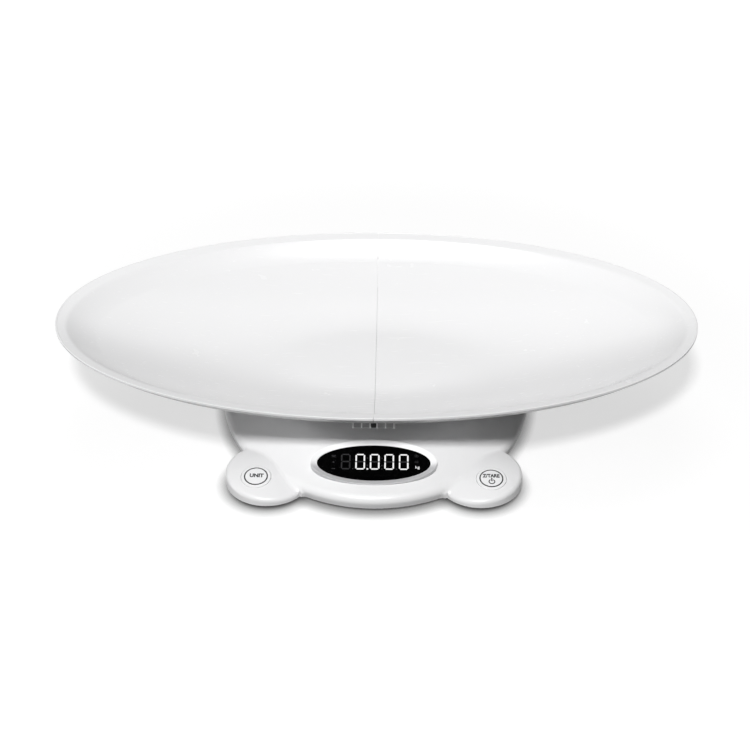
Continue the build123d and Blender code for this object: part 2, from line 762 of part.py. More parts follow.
# ---------------------------------------------------------------- buttons
for side, name in ((-1, "unit"), (1, "tare")):
    with BuildPart() as flange:
        with BuildSketch(button_plane(side, stem_depth)):
            Circle(button_radius + button_flange)
        extrude(amount=stem_depth)
        with Locations((side * crown_centre.X, crown_centre.Y, crown_centre.Z)):
            Sphere(lobe_crown_radius - flange_depth, mode=Mode.INTERSECT)

    with BuildPart() as button:
        with BuildSketch(button_plane(side, stem_depth)):
            Circle(button_radius)
        extrude(amount=stem_depth + button_radius)
        with Locations((side * crown_centre.X, crown_centre.Y, crown_centre.Z)):
            Sphere(lobe_crown_radius + button_proud, mode=Mode.INTERSECT)
        fillet(button.faces().filter_by(GeomType.SPHERE).edges(), radius=button_round)
        add(flange.part)
    pieces[f"{name}_button"] = button.part

    with BuildPart() as plunger:
        with BuildSketch(button_plane(side, stem_depth + plunger_length)):
            Circle(plunger_radius)
        extrude(amount=plunger_length)
    pieces[f"{name}_plunger"] = plunger.part

    with BuildPart() as switch:
        with BuildSketch(button_plane(side, key_board_depth)):
            Rectangle(switch_size, switch_size)
            Circle(plunger_radius + plunger_clearance, mode=Mode.SUBTRACT)
        extrude(amount=switch_height)
    pieces[f"{name}_switch"] = switch.part

    with BuildPart() as key_board:
        with BuildSketch(button_plane(side, key_board_depth + key_board_thickness)):
            Rectangle(key_board_length, key_board_width)
            with Locations(*key_screws):
                Circle(small_screw_radius + screw_clearance, mode=Mode.SUBTRACT)
        extrude(amount=key_board_thickness)
    pieces[f"{name}_key_board"] = key_board.part

# ---------------------------------------------------------------- screws
with BuildPart() as housing_screws:
    with BuildSketch(Plane.XY.offset(base_bottom + counterbore_depth)):
        with Locations(*screw_spots):
            Circle(screw_radius)
    extrude(amount=pillar_height - counterbore_depth + screw_bite)
    with BuildSketch(Plane.XY.offset(base_bottom + counterbore_depth - screw_head_height)):
        with Locations(*screw_spots):
            Circle(screw_head_radius)
    extrude(amount=screw_head_height)
pieces["housing_screws"] = housing_screws.part

with BuildPart() as board_screw_set:
    for plane, spots, grip in (
            [(display_plane.offset(-board_depth), board_screws, board_thickness)]
            + [(button_plane(side, key_board_depth), key_screws, key_board_thickness)
               for side in (-1, 1)]):
        with BuildSketch(plane.offset(-grip)):
            with Locations(*spots):
                Circle(small_screw_radius)
        extrude(amount=small_screw_length)
        with BuildSketch(plane.offset(-grip - small_screw_head_height)):
            with Locations(*spots):
                Circle(small_screw_head_radius)
        extrude(amount=small_screw_head_height)
pieces["board_screws"] = board_screw_set.part

# ---------------------------------------------------------------- write
os.makedirs("parts", exist_ok=True)
for name, part in pieces.items():
    part.label = name
    export_step(part, f"parts/{name}.step")
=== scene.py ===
import math

import bmesh
import bpy
from mathutils import Matrix, Vector


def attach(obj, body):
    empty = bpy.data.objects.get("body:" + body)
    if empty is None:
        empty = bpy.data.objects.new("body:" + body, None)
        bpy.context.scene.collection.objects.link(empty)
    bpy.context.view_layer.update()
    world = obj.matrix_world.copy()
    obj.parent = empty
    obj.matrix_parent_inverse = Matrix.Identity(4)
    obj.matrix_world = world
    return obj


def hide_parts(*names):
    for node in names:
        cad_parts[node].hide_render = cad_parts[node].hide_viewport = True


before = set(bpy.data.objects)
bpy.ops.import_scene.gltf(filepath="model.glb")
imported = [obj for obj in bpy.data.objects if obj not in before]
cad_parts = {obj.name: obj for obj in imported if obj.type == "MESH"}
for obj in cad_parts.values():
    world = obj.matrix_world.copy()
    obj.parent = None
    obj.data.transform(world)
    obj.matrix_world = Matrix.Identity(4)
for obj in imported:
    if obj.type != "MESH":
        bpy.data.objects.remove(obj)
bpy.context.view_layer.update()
scene = bpy.context.scene

# ------------------------------------------------------------------ camera
# A long lens in front of the scale and well above it, pitched down so that
# the whole tray and the front of the base are in view.
LENS_MM, SENSOR_MM = 79.484, 36.0
SIGHT = 50.0  # how far the camera sees
CAMERA_PLACE = (-0.0009, -1.26253, 0.89795)
CAMERA_PITCH = 34.661  # degrees below the horizon
CAMERA_TURN = 0.85  # degrees round the scale, to the right of its middle

camera_data = bpy.data.cameras.new("camera")
camera_data.sensor_width = SENSOR_MM
camera_data.lens = LENS_MM
camera_data.clip_end = SIGHT
camera = bpy.data.objects.new("camera", camera_data)
camera.location = Matrix.Rotation(math.radians(CAMERA_TURN), 3, "Z") @ Vector(CAMERA_PLACE)
camera.rotation_euler = (math.radians(90.0 - CAMERA_PITCH), 0.0, math.radians(CAMERA_TURN))
scene.collection.objects.link(camera)
scene.camera = camera
scene.view_settings.view_transform = "Standard"

# ------------------------------------------------------------------ studio
# A white table that runs to the horizon, one soft key lamp high in front, a
# broad lamp high behind, a weak fill from the left and an even pale world.
WHITE = (1.0, 1.0, 1.0, 1.0)
FLOOR_SIZE = 30.0
FLOOR_BOUNCE = (0.06, 0.06, 0.06, 1.0)
FLOOR_SEEN = 0.40  # share of the floor's white that the lamps make, so that it keeps shadows
FLOOR_GLOW = 0.64  # the rest, seen by the camera and in reflections only
EVEN_FROM, EVEN_TO = 0.33, 0.9  # distances over which the glow alone becomes white
CONTACT_SHADE_REACH = 0.012  # painted contact shadow: how far the dark line reaches where the base nearly meets the table
CONTACT_SHADE_DEPTH = 1.5
CONTACT_SAMPLES = 16
KEY_ELEVATION, KEY_AZIMUTH = 52.0, -6.0  # degrees
KEY_DISTANCE, KEY_SIZE, KEY_POWER = 3.2, 0.4, 88.0
TOP_PLACE, TOP_SIZE, TOP_POWER = (0.0, 1.6, 2.0), 1.6, 10.3
FILL_PLACE, FILL_SIZE, FILL_POWER = (-3.0, -0.5, 0.5), 1.4, 20.0
LAMP_TARGET = (0.0, 0.0, 0.05)
WORLD_LEVEL = 0.13


def add_node(tree, kind, wired=None, **settings):
    """A node of this kind with its settings. wired gives its inputs, each a value, an output to link or a
    node whose first output is linked."""
    node = tree.nodes.new(kind)
    for name, value in settings.items():
        setattr(node, name, value)
    for name, value in (wired or {}).items():
        if isinstance(value, bpy.types.Node):
            value = next(output for output in value.outputs if output.enabled)
        if isinstance(value, bpy.types.NodeSocket):
            tree.links.new(value, node.inputs[name])
        else:
            node.inputs[name].default_value = value
    return node


def maths(tree, operation, *values):
    """A math node on these values."""
    return add_node(tree, "ShaderNodeMath", dict(enumerate(values)), operation=operation)


def vector_maths(tree, operation, *values, **named):
    """A vector math node on these values, with its Scale given by name."""
    return add_node(tree, "ShaderNodeVectorMath", {**dict(enumerate(values)), **named}, operation=operation)


def ramp(tree, value, low, high, start=0.0, curve="LINEAR"):
    """Turns a value's way from low to high into the way from start to 1."""
    return add_node(tree, "ShaderNodeMapRange", {
        "Value": value, "From Min": low, "From Max": high, "To Min": start}, interpolation_type=curve)


def object_place(tree):
    """The point on the surface, in metres."""
    return add_node(tree, "ShaderNodeTexCoord").outputs["Object"]


def node_material(name):
    """A material with an empty node tree; returns both."""
    material = bpy.data.materials.new(name)
    material.use_nodes = True
    material.node_tree.nodes.clear()
    return material, material.node_tree


def area_lamp(name, place, size, power):
    """A square soft lamp at place, turned towards the scale."""
    data = bpy.data.lights.new(name, "AREA")
    data.shape = "SQUARE"
    data.size = size
    data.energy = power
    lamp = bpy.data.objects.new(name, data)
    lamp.location = place
    lamp.rotation_euler = (Vector(LAMP_TARGET) - Vector(place)).to_track_quat("-Z", "Y").to_euler()
    scene.collection.objects.link(lamp)


# the table's look for the camera and for mirrors, a darker one for the light that it sends on; near the base
# its white and glow carry a painted contact shadow
table_white, tree = node_material("table_white")
rays = add_node(tree, "ShaderNodeLightPath").outputs
seen = maths(tree, "MAXIMUM", rays["Is Camera Ray"], rays["Is Glossy Ray"])
seen_or_through = maths(tree, "MAXIMUM", seen, rays["Is Transmission Ray"])
# painted contact shadow: ambient occlusion darkens the table's white and its glow where the base nearly meets
# it
nearness = add_node(tree, "ShaderNodeAmbientOcclusion", {"Distance": CONTACT_SHADE_REACH}, samples=CONTACT_SAMPLES)
contact = maths(tree, "POWER", nearness.outputs["AO"], CONTACT_SHADE_DEPTH)
shown_white = vector_maths(tree, "SCALE", (FLOOR_SEEN, FLOOR_SEEN, FLOOR_SEEN), Scale=contact)
shown_surface = add_node(tree, "ShaderNodeBsdfDiffuse", {"Color": shown_white})
from_scale = vector_maths(tree, "LENGTH", object_place(tree))
evened = ramp(tree, from_scale, EVEN_FROM, EVEN_TO, start=FLOOR_GLOW, curve="SMOOTHSTEP")
shown_glow = add_node(tree, "ShaderNodeEmission", {"Strength": maths(tree, "MULTIPLY", contact, evened)})
shown = add_node(tree, "ShaderNodeAddShader", {0: shown_surface, 1: shown_glow})
bounce = add_node(tree, "ShaderNodeBsdfDiffuse", {"Color": FLOOR_BOUNCE})
table_look = add_node(tree, "ShaderNodeMixShader", {0: seen_or_through, 1: bounce, 2: shown})
from_below = add_node(tree, "ShaderNodeMixShader", {
    0: add_node(tree, "ShaderNodeNewGeometry").outputs["Backfacing"], 1: table_look,
    2: add_node(tree, "ShaderNodeBsdfTransparent")})
add_node(tree, "ShaderNodeOutputMaterial", {"Surface": from_below})

table_mesh = bpy.data.meshes.new("table")
table_mesh.from_pydata([(x * FLOOR_SIZE / 2, y * FLOOR_SIZE / 2, 0.0)
                        for x, y in ((-1, -1), (1, -1), (1, 1), (-1, 1))], [], [(0, 1, 2, 3)])
table_mesh.materials.append(table_white)
table = bpy.data.objects.new("table", table_mesh)
scene.collection.objects.link(table)

elevation, azimuth = math.radians(KEY_ELEVATION), math.radians(KEY_AZIMUTH)
key_place = KEY_DISTANCE * Vector((math.sin(azimuth) * math.cos(elevation),
                                   -math.cos(azimuth) * math.cos(elevation), math.sin(elevation)))
area_lamp("key", key_place, KEY_SIZE, KEY_POWER)
area_lamp("top", TOP_PLACE, TOP_SIZE, TOP_POWER)
area_lamp("fill", FILL_PLACE, FILL_SIZE, FILL_POWER)

world = bpy.data.worlds.new("studio")
world.use_nodes = True
tree = world.node_tree
tree.nodes.clear()
world_even, world_white = [add_node(tree, "ShaderNodeBackground", {"Color": WHITE, "Strength": level})
                           for level in (WORLD_LEVEL, 1.0)]
world_mix = add_node(tree, "ShaderNodeMixShader", {
    0: add_node(tree, "ShaderNodeLightPath").outputs["Is Camera Ray"], 1: world_even, 2: world_white})
add_node(tree, "ShaderNodeOutputWorld", {"Surface": world_mix})
scene.world = world

# ------------------------------------------------------------------ tray
# Two injection-moulded halves of white gloss ABS that meet at a fine seam,
# polished in the mould, with a few hair-fine rubs in the bowl.
TRAY_WHITE = (0.86, 0.86, 0.865, 1.0)
# painted shade for the coupler blocks, which lie in the shadow of the rim
BLOCK_SHADE_GREY = (0.34, 0.34, 0.345, 1.0)
BLOCK_END = 0.0179  # half the coupler blocks' length along the rim
BLOCK_BACK, BLOCK_FACE = 0.1345, 0.1414  # their depth, from the middle of the tray
BOWL_SLOPE, UNDER_BOWL = 0.68, -0.0213  # the plane just under the bowl's wall, over the blocks
FLOAT, COLOUR, VECTOR = "NodeSocketFloat", "NodeSocketColor", "NodeSocketVector"


def effect_group(name, inputs, outputs):
    """A shader node group; inputs and outputs are label: (socket type, first value) and label: type."""
    group = bpy.data.node_groups.new(name, "ShaderNodeTree")
    for label, (kind, value) in inputs.items():
        group.interface.new_socket(label, in_out="INPUT", socket_type=kind).default_value = value
    for label, kind in outputs.items():
        group.interface.new_socket(label, in_out="OUTPUT", socket_type=kind)
    return group, add_node(group, "NodeGroupInput").outputs


def noise(tree, place, scale, detail, roughness=0.5):
    """Cloudy noise at a place."""
    return add_node(tree, "ShaderNodeTexNoise",
                    {"Vector": place, "Scale": scale, "Detail": detail, "Roughness": roughness})


# moulded skin: a cloudy shade, a gloss that varies and the low ripple of moulded plastic
moulded_skin, given = effect_group(
    "moulded_skin",
    {"Color": (COLOUR, TRAY_WHITE), "Shade": (FLOAT, 0.03), "Cloud Scale": (FLOAT, 9.0),
     "Roughness": (FLOAT, 0.3), "Gloss Spread": (FLOAT, 0.06), "Grain Scale": (FLOAT, 500.0)},
    {"Color": COLOUR, "Roughness": FLOAT, "Height": FLOAT})
place = object_place(moulded_skin)
cloud = noise(moulded_skin, place, given["Cloud Scale"], detail=3.0, roughness=0.55)
cloud_mask = ramp(moulded_skin, cloud, low=0.32, high=0.68)
cloud_depth = maths(moulded_skin, "MULTIPLY", cloud_mask, given["Shade"])
cloud_level = maths(moulded_skin, "SUBTRACT", 1.0, cloud_depth)
cloud_colour = vector_maths(moulded_skin, "SCALE", given["Color"], Scale=cloud_level)
gloss = noise(moulded_skin, place, scale=34.0, detail=4.0, roughness=0.6)
gloss_level = maths(moulded_skin, "MULTIPLY_ADD", maths(moulded_skin, "SUBTRACT", gloss, 0.5),
                    given["Gloss Spread"], given["Roughness"])
ripple = noise(moulded_skin, place, given["Grain Scale"], detail=2.0)
add_node(moulded_skin, "NodeGroupOutput", {"Color": cloud_colour, "Roughness": gloss_level, "Height": ripple})

# hair rubs: thin, long, sparse marks along one direction
hair_rubs, given = effect_group(
    "hair_rubs", {"Run": (VECTOR, (6.0, 240.0, 240.0)), "Sparseness": (FLOAT, 0.66)}, {"Mask": FLOAT})
place = object_place(hair_rubs)
waver = noise(hair_rubs, place, scale=11.0, detail=1.0).outputs["Color"]
bent = vector_maths(hair_rubs, "MULTIPLY_ADD", waver, (0.02, 0.02, 0.02), place)
drawn_out = vector_maths(hair_rubs, "MULTIPLY", bent, given["Run"])
hairs = noise(hair_rubs, drawn_out, scale=3.0, detail=2.0, roughness=0.6)
add_node(hair_rubs, "NodeGroupOutput", {"Mask": ramp(hair_rubs, hairs, low=given["Sparseness"], high=0.78)})


def effect(tree, group, values=None):
    """An effect group placed in a material with its own values."""
    return add_node(tree, "ShaderNodeGroup", values, node_tree=group).outputs


def skinned(tree, colour, shade, clouds, roughness, spread, grain):
    """The moulded skin: how deep and fine its clouds are, its gloss and how far that varies, its grain."""
    return effect(tree, moulded_skin, {
        "Color": colour, "Shade": shade, "Cloud Scale": clouds, "Roughness": roughness,
        "Gloss Spread": spread, "Grain Scale": grain})


def relief(tree, height, strength, distance):
    """Fine relief in the surface."""
    return add_node(tree, "ShaderNodeBump", {"Height": height, "Strength": strength, "Distance": distance})


def surfaced(tree, inputs):
    """Ends a material with one shader."""
    shader = add_node(tree, "ShaderNodeBsdfPrincipled", inputs)
    add_node(tree, "ShaderNodeOutputMaterial", {"Surface": shader})


def moulded(name, rub_depth=0.0, ripple_depth=0.00002, tint=None, ior=1.5, specular=0.5, **skin):
    """Moulded plastic, rubbed and rippled a little; tint may return another colour from the skin's."""
    material, tree = node_material(name)
    surface = skinned(tree, **skin)
    rubbed = maths(tree, "MULTIPLY_ADD", effect(tree, hair_rubs)["Mask"], rub_depth, surface["Roughness"])
    surfaced(tree, {
        "Base Color": tint(tree, surface["Color"]) if tint else surface["Color"], "Roughness": rubbed,
        "Normal": relief(tree, surface["Height"], 0.35, ripple_depth), "IOR": ior,
        "Specular IOR Level": specular})
    return material


def dress(material, *names):
    """Gives CAD nodes this material."""
    for name in names:
        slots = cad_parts[name].data.materials
        slots.clear()
        slots.append(material)


def parted(tree, vector):
    """A vector's X, Y and Z."""
    return add_node(tree, "ShaderNodeSeparateXYZ", {"Vector": vector}).outputs


def mixed_colour(tree, share, first, second):
    """The first colour where share is 0, the second where it is 1."""
    return add_node(tree, "ShaderNodeMix", {"Factor": share, "A": first, "B": second}, data_type="RGBA")


def shaded_blocks(tree, colour):
    """Painted shade: the coupler blocks under the rim are painted grey, up to the underside of the bowl's
    wall, for the rim's shadow on them.
    """
    spot = parted(tree, object_place(tree))
    across, along = [maths(tree, "ABSOLUTE", spot[axis]) for axis in "XY"]
    height = maths(tree, "MULTIPLY_ADD", along, -BOWL_SLOPE, spot["Z"])
    inside = 1.0
    for kind, value, limit in (("LESS_THAN", across, BLOCK_END), ("GREATER_THAN", along, BLOCK_BACK),
                               ("LESS_THAN", along, BLOCK_FACE), ("LESS_THAN", height, UNDER_BOWL)):
        inside = maths(tree, "MULTIPLY", inside, maths(tree, kind, value, limit))
    return mixed_colour(tree, inside, colour, BLOCK_SHADE_GREY)


# the tray's white, with painted shade on the coupler blocks under the rim
tray_gloss = moulded("tray_gloss", colour=TRAY_WHITE, shade=0.008, clouds=4.0, roughness=0.27, spread=0.02,
                     grain=520.0, rub_depth=0.02, ripple_depth=0.000002, tint=shaded_blocks)
dress(tray_gloss, "tray_left", "tray_right")

# ------------------------------------------------------------------ tray lip and seam lands
# The lip of each half is an even, nearly flat band all round, which rolls over
# into the wall; a thin land on each cut edge closes the seam to a hairline.
# Both are moulded with the halves.
ROUND_ANGLE = math.radians(40.0)
RIM_X, RIM_Y, RIM_Z = 0.290, 0.155, 0.088
BOWL_FLAT, BOWL_CREASE, CREST = 0.084, 0.281, 0.2888  # radii along X
BOWL_LOW, CREASE_Z = 0.042, 0.083
LIP_START, LIP_BAND, LIP_FALL = 0.0006, 0.0095, 0.0020
ROLL_AT_ENDS, ROLL_AT_SIDES, ROLL_POWER = 0.038, 0.020, 2.4
SKIN_DEPTH = 0.0014  # how far the pieces reach into the wall
SUNK = 0.0003  # how far the roll's far edge lies under the wall's face
LIP_STEPS, BAND_STEPS, ROLL_STEPS, LAND_STEPS = 240, 5, 18, 300
SEAM_HALF = 0.0001
LAND_INSIDE = 0.0006
LAND_LOW = 0.00002


def tray_top(x, y):
    """Height of the tray's upper face."""
    radius = math.hypot(x, y * RIM_X / RIM_Y)
    if radius > CREST:
        return RIM_Z
    if radius > BOWL_CREASE:
        return CREASE_Z + (RIM_Z - CREASE_Z) * (radius - BOWL_CREASE) / (CREST - BOWL_CREASE)
    out = max(0.0, radius - BOWL_FLAT) / (BOWL_CREASE - BOWL_FLAT)
    return BOWL_LOW + (CREASE_Z - BOWL_LOW) * out**2


def finished_mesh(name, body, *finishes):
    """A closed bmesh made a mesh with its finishes, smooth but for its edges."""
    mesh = bpy.data.meshes.new(name)
    body.to_mesh(mesh)
    body.free()
    for finish in finishes:
        mesh.materials.append(finish)
    mesh.shade_smooth()
    mesh.set_sharp_from_angle(angle=ROUND_ANGLE)
    return mesh


def lofted(name, sections, finish):
    """A closed solid through equal loops of points, with both ends capped."""
    body = bmesh.new()
    loops = [[body.verts.new(point) for point in section] for section in sections]
    for first, second in zip(loops, loops[1:]):
        for here in range(len(first)):
            after = (here + 1) % len(first)
            body.faces.new((first[here], first[after], second[after], second[here]))
    body.faces.new(loops[0])
    body.faces.new(reversed(loops[-1]))
    bmesh.ops.recalc_face_normals(body, faces=body.faces)
    return finished_mesh(name, body, finish)


def fit_piece(name, mesh, body, slot, *replaced):
    """Puts a finished mesh in the scene as a piece that rides on a body."""
    piece = bpy.data.objects.new(name, mesh)
    scene.collection.objects.link(piece)
    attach(piece, body)
    if replaced:
        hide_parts(*replaced)


def lip_section(side, angle):
    """One loop of the lip, square to the rim at this angle from the seam's far end."""
    edge = Vector((side * RIM_X * math.sin(angle), RIM_Y * math.cos(angle)))
    inward = -Vector((edge.x / RIM_X**2, edge.y / RIM_Y**2)).normalized()
    roll = ROLL_AT_SIDES + (ROLL_AT_ENDS - ROLL_AT_SIDES) * math.sin(angle) ** 4
    raised = RIM_Z - LIP_FALL - tray_top(*(edge + inward * LIP_BAND))
    upper = []
    for step in range(BAND_STEPS + 1):
        distance = LIP_START + (LIP_BAND - LIP_START) * step / BAND_STEPS
        upper.append((distance, RIM_Z - LIP_FALL * distance / LIP_BAND))
    for step in range(1, ROLL_STEPS + 1):
        part = step / ROLL_STEPS
        distance = LIP_BAND + roll * part
        wall = tray_top(*(edge + inward * distance))
        upper.append((distance, wall + raised * (1 - part) ** ROLL_POWER - SUNK * part))
    lower = [(distance, min(tray_top(*(edge + inward * distance)), height) - SKIN_DEPTH)
             for distance, height in upper]
    loop = []
    for distance, height in upper + lower[::-1]:
        spot = edge + inward * distance
        loop.append((side * max(side * spot.x, SEAM_HALF), spot.y, height))
    return loop


def land_section(side, y):
    """One loop of the thin land along a half's cut edge."""
    top = tray_top(0.0, y) - LAND_LOW
    return [(side * x, y, z) for x, z in ((SEAM_HALF, top), (LAND_INSIDE, top),
                                          (LAND_INSIDE, top - SKIN_DEPTH), (SEAM_HALF, top - SKIN_DEPTH))]


land_end = RIM_Y - LIP_START
first_angle = math.asin(SEAM_HALF / RIM_X)
angles = [first_angle + (math.pi - 2 * first_angle) * step / LIP_STEPS for step in range(LIP_STEPS + 1)]
land_ys = [land_end * (2 * step / LAND_STEPS - 1) for step in range(LAND_STEPS + 1)]
for side, half in ((-1, "left"), (1, "right")):
    for name, sections in ((f"tray_{half}_lip", [lip_section(side, angle) for angle in angles]),
                           (f"tray_{half}_land", [land_section(side, y) for y in land_ys])):
        fit_piece(name, lofted(name, sections, tray_gloss), f"tray_{half}_body", "tray_plastic")

# The two clips are black nylon, matt from the mould's spark-eroded faces.
clip_nylon = moulded("clip_nylon", colour=(0.010, 0.010, 0.011, 1.0), shade=0.25, clouds=60.0, roughness=0.6,
                     spread=0.12, grain=2600.0, rub_depth=0.1, ripple_depth=0.00004, ior=1.53, specular=0.2)
dress(clip_nylon, "seam_clip_front", "seam_clip_back")

# ------------------------------------------------------------------ base housing
# The top is one white satin ABS moulding with the deck and both lobes; the
# floor under it is the same plastic with a coarser texture against scuffs.
housing_satin = moulded("housing_satin", colour=(0.85, 0.85, 0.855, 1.0), shade=0.025, clouds=8.0,
                        roughness=0.34, spread=0.08, grain=640.0, rub_depth=0.03, ripple_depth=0.000006)
floor_texture = moulded("floor_texture", colour=(0.80, 0.80, 0.80, 1.0), shade=0.06, clouds=14.0,
                        roughness=0.5, spread=0.12, grain=1500.0, rub_depth=0.2, ripple_depth=0.00008)
dress(housing_satin, "top_housing")
dress(floor_texture, "bottom_housing", "battery_door")

# ------------------------------------------------------------------ battery door grip
# Six half-round ribs moulded on the door where a thumb pushes it open.
# They are the door's own plastic and stand on its outer face.
RIB_COUNT, RIB_PITCH = 6, 0.0021
RIB_LENGTH, RIB_RADIUS = 0.017, 0.0005
RIB_LAST_Y = 0.0668
DOOR_FACE_Z = 0.005


def xyz(tree, x=0.0, y=0.0, z=0.0):
    """A vector of three numbers or outputs."""
    return add_node(tree, "ShaderNodeCombineXYZ", {"X": x, "Y": y, "Z": z})


def swept(tree, path, section):
    """A closed tube of this section along a path."""
    return add_node(tree, "GeometryNodeCurveToMesh",
                    {"Curve": path, "Profile Curve": section, "Fill Caps": True})


def round_section(tree, radius, corners):
    """A circle for a round tube."""
    return add_node(tree, "GeometryNodeCurvePrimitiveCircle", {"Resolution": corners, "Radius": radius})


def growing_tree(name, sizes):
    """A geometry tree that grows a piece on loose points, with named sizes and its finish as inputs."""
    tree = bpy.data.node_groups.new(name, "GeometryNodeTree")
    tree.interface.new_socket("Points", in_out="INPUT", socket_type="NodeSocketGeometry")
    for label, value in sizes.items():
        tree.interface.new_socket(label, in_out="INPUT", socket_type=FLOAT).default_value = value
    tree.interface.new_socket("Finish", in_out="INPUT", socket_type="NodeSocketMaterial")
    tree.interface.new_socket("Piece", in_out="OUTPUT", socket_type="NodeSocketGeometry")
    return tree, add_node(tree, "NodeGroupInput").outputs


def set_on_points(tree, given, shape, aligned="Z"):
    """Ends a tree: the shape stands on every point, its aligned side along the point's own axis."""
    axis = add_node(tree, "GeometryNodeInputNamedAttribute", {"Name": "axis"}, data_type="FLOAT_VECTOR")
    turn = add_node(tree, "FunctionNodeAlignRotationToVector", {"Vector": axis}, axis=aligned)
    spots = add_node(tree, "GeometryNodeInstanceOnPoints",
                     {"Points": given["Points"], "Instance": shape, "Rotation": turn})
    real = add_node(tree, "GeometryNodeRealizeInstances", {"Geometry": spots})
    finished = add_node(tree, "GeometryNodeSetMaterial", {"Geometry": real, "Material": given["Finish"]})
    add_node(tree, "NodeGroupOutput", {"Piece": finished})


def grown_mesh(name, tree, spots, sizes, finish):
    """The plain mesh that a tree grows on spots, each a place and an axis."""
    seeds = bpy.data.meshes.new(name + "_spots")
    seeds.from_pydata([spot for spot, _ in spots], [], [])
    axes = seeds.attributes.new("axis", "FLOAT_VECTOR", "POINT")
    axes.data.foreach_set("vector", [value for _, axis in spots for value in axis])
    carrier = bpy.data.objects.new(name + "_carrier", seeds)
    scene.collection.objects.link(carrier)
    modifier = carrier.modifiers.new("grow", "NODES")
    modifier.node_group = tree
    for socket in tree.interface.items_tree:
        if socket.in_out == "INPUT" and socket.name in sizes:
            modifier[socket.identifier] = sizes[socket.name]
        elif socket.in_out == "INPUT" and socket.name == "Finish":
            modifier[socket.identifier] = finish
    bpy.context.view_layer.update()
    evaluated = carrier.evaluated_get(bpy.context.evaluated_depsgraph_get())
    mesh = bpy.data.meshes.new_from_object(evaluated)
    mesh.name = name
    bpy.data.objects.remove(carrier)
    if "axis" in mesh.attributes:
        mesh.attributes.remove(mesh.attributes["axis"])
    mesh.materials.clear()
    mesh.materials.append(finish)
    mesh.polygons.foreach_set("material_index", [0] * len(mesh.polygons))
    mesh.shade_smooth()
    mesh.set_sharp_from_angle(angle=ROUND_ANGLE)
    return mesh


grip_tree, given = growing_tree("door_grip_ribs", {"Rib Length": RIB_LENGTH, "Rib Radius": RIB_RADIUS})
rib_start, rib_end = [xyz(grip_tree, x=maths(grip_tree, "MULTIPLY", given["Rib Length"], share))
                      for share in (-0.5, 0.5)]
rib_line = add_node(grip_tree, "GeometryNodeCurvePrimitiveLine", {"Start": rib_start, "End": rib_end})
rib = swept(grip_tree, rib_line, round_section(grip_tree, given["Rib Radius"], corners=14))
set_on_points(grip_tree, given, rib, aligned="X")
grip_spots = [((0.0, RIB_LAST_Y - step * RIB_PITCH, DOOR_FACE_Z), (1.0, 0.0, 0.0))
              for step in range(RIB_COUNT)]
fit_piece("battery_door_grip", grown_mesh("battery_door_grip", grip_tree, grip_spots, {}, floor_texture),
          "battery_cover", "housing_plastic")

# ------------------------------------------------------------------ display
# An oval bezel of white ABS, with painted shade in grey over its lower slope, stands
# on the dome round a black tinted acrylic window; the segment display shines through it.
DISPLAY_PLACE = Vector((0.0, -0.1355, 0.027391))
DISPLAY_TILT = 17.594  # degrees that the display leans towards the front
WINDOW_DEPTH = 0.0012
FILM = 0.00006  # thickness of anything printed or lit on a face
BEZEL_SHADE_GREY = (0.52, 0.52, 0.53, 1.0)
SHADE_STARTS, SHADE_WHOLE = 0.002, -0.006  # where the painted shade starts and where it is whole, along the slope, from the display's long axis


def leaning(origin, tilt, lift=0.0):
    """Frame of a face whose middle is at origin, tilted to the front; lift is along its normal."""
    return (Matrix.Translation(origin) @ Matrix.Rotation(math.radians(tilt), 4, "X")
            @ Matrix.Translation((0.0, 0.0, lift)))


def painted_shade_lower_slope(tree, colour):
    """Painted shade: the bezel's lower half is painted grey, split along the display's long axis."""
    flat = add_node(tree, "ShaderNodeMapping", {
        "Vector": object_place(tree), "Location": DISPLAY_PLACE,
        "Rotation": (math.radians(DISPLAY_TILT), 0.0, 0.0)}, vector_type="TEXTURE")
    lower = ramp(tree, parted(tree, flat)["Y"], SHADE_STARTS, SHADE_WHOLE, curve="SMOOTHSTEP")
    return mixed_colour(tree, lower, colour, BEZEL_SHADE_GREY)


# the bezel's white is set brighter than the housing's as painted light on its upper crescent, which lies in
# the tray's shadow
bezel_gloss = moulded("bezel_gloss", colour=(0.94, 0.94, 0.945, 1.0), shade=0.02, clouds=12.0, roughness=0.3,
                      spread=0.05, grain=700.0, tint=painted_shade_lower_slope)
window_acrylic = moulded("window_acrylic", colour=(0.0006, 0.0006, 0.0007, 1.0), shade=0.3, clouds=18.0,
                         roughness=0.07, spread=0.03, grain=300.0, rub_depth=0.1, ripple_depth=0.000005,
                         ior=1.49, specular=0.05)
dress(bezel_gloss, "display_bezel")
dress(window_acrylic, "display_window")

# ------------------------------------------------------------------ lit digits
# The segment display's bars are a thin lit film just behind the window: four
# noughts with their point, and the bars, colons and unit marks that stay dark
# and only just show.
DIGIT_WIDTH, DIGIT_HEIGHT, DIGIT_PITCH = 0.0083, 0.0162, 0.01247
FIRST_DIGIT_X = -0.0241  # the dark leading digit
DIGIT_Y = 0.0015
BAR_WIDTH, BAR_GAP = 0.00125, 0.00040
LIT_LEVEL = 1.0
SEGMENT_DARK = (0.01, 0.01, 0.01, 1.0)  # a segment's own colour under its light
POINT_LENGTH, POINT_WIDTH = 0.0018, 0.0015
FAINT_LENGTH, FAINT_WIDTH = 0.00135, 0.001125  # the colons and points that stay dark
MARK_X, MARK_LINE = -0.0346, 0.0008
ALONG, UPWARD = (1.0, 0.0, 0.0), (0.0, 1.0, 0.0)


def glowing(name, colour, shade):
    """Segment light: a colour that falls off a little in cloudy patches."""
    material, tree = node_material(name)
    patches = skinned(tree, colour, shade, clouds=400.0, roughness=0.25, spread=0.1, grain=2000.0)
    surfaced(tree, {
        "Base Color": SEGMENT_DARK, "Roughness": patches["Roughness"],
        "Emission Color": patches["Color"], "Emission Strength": LIT_LEVEL, "Specular IOR Level": 0.2})
    return material


lit_white = glowing("lit_white", WHITE, shade=0.06)
unlit_grey = glowing("unlit_grey", (0.022, 0.022, 0.024, 1.0), shade=0.35)

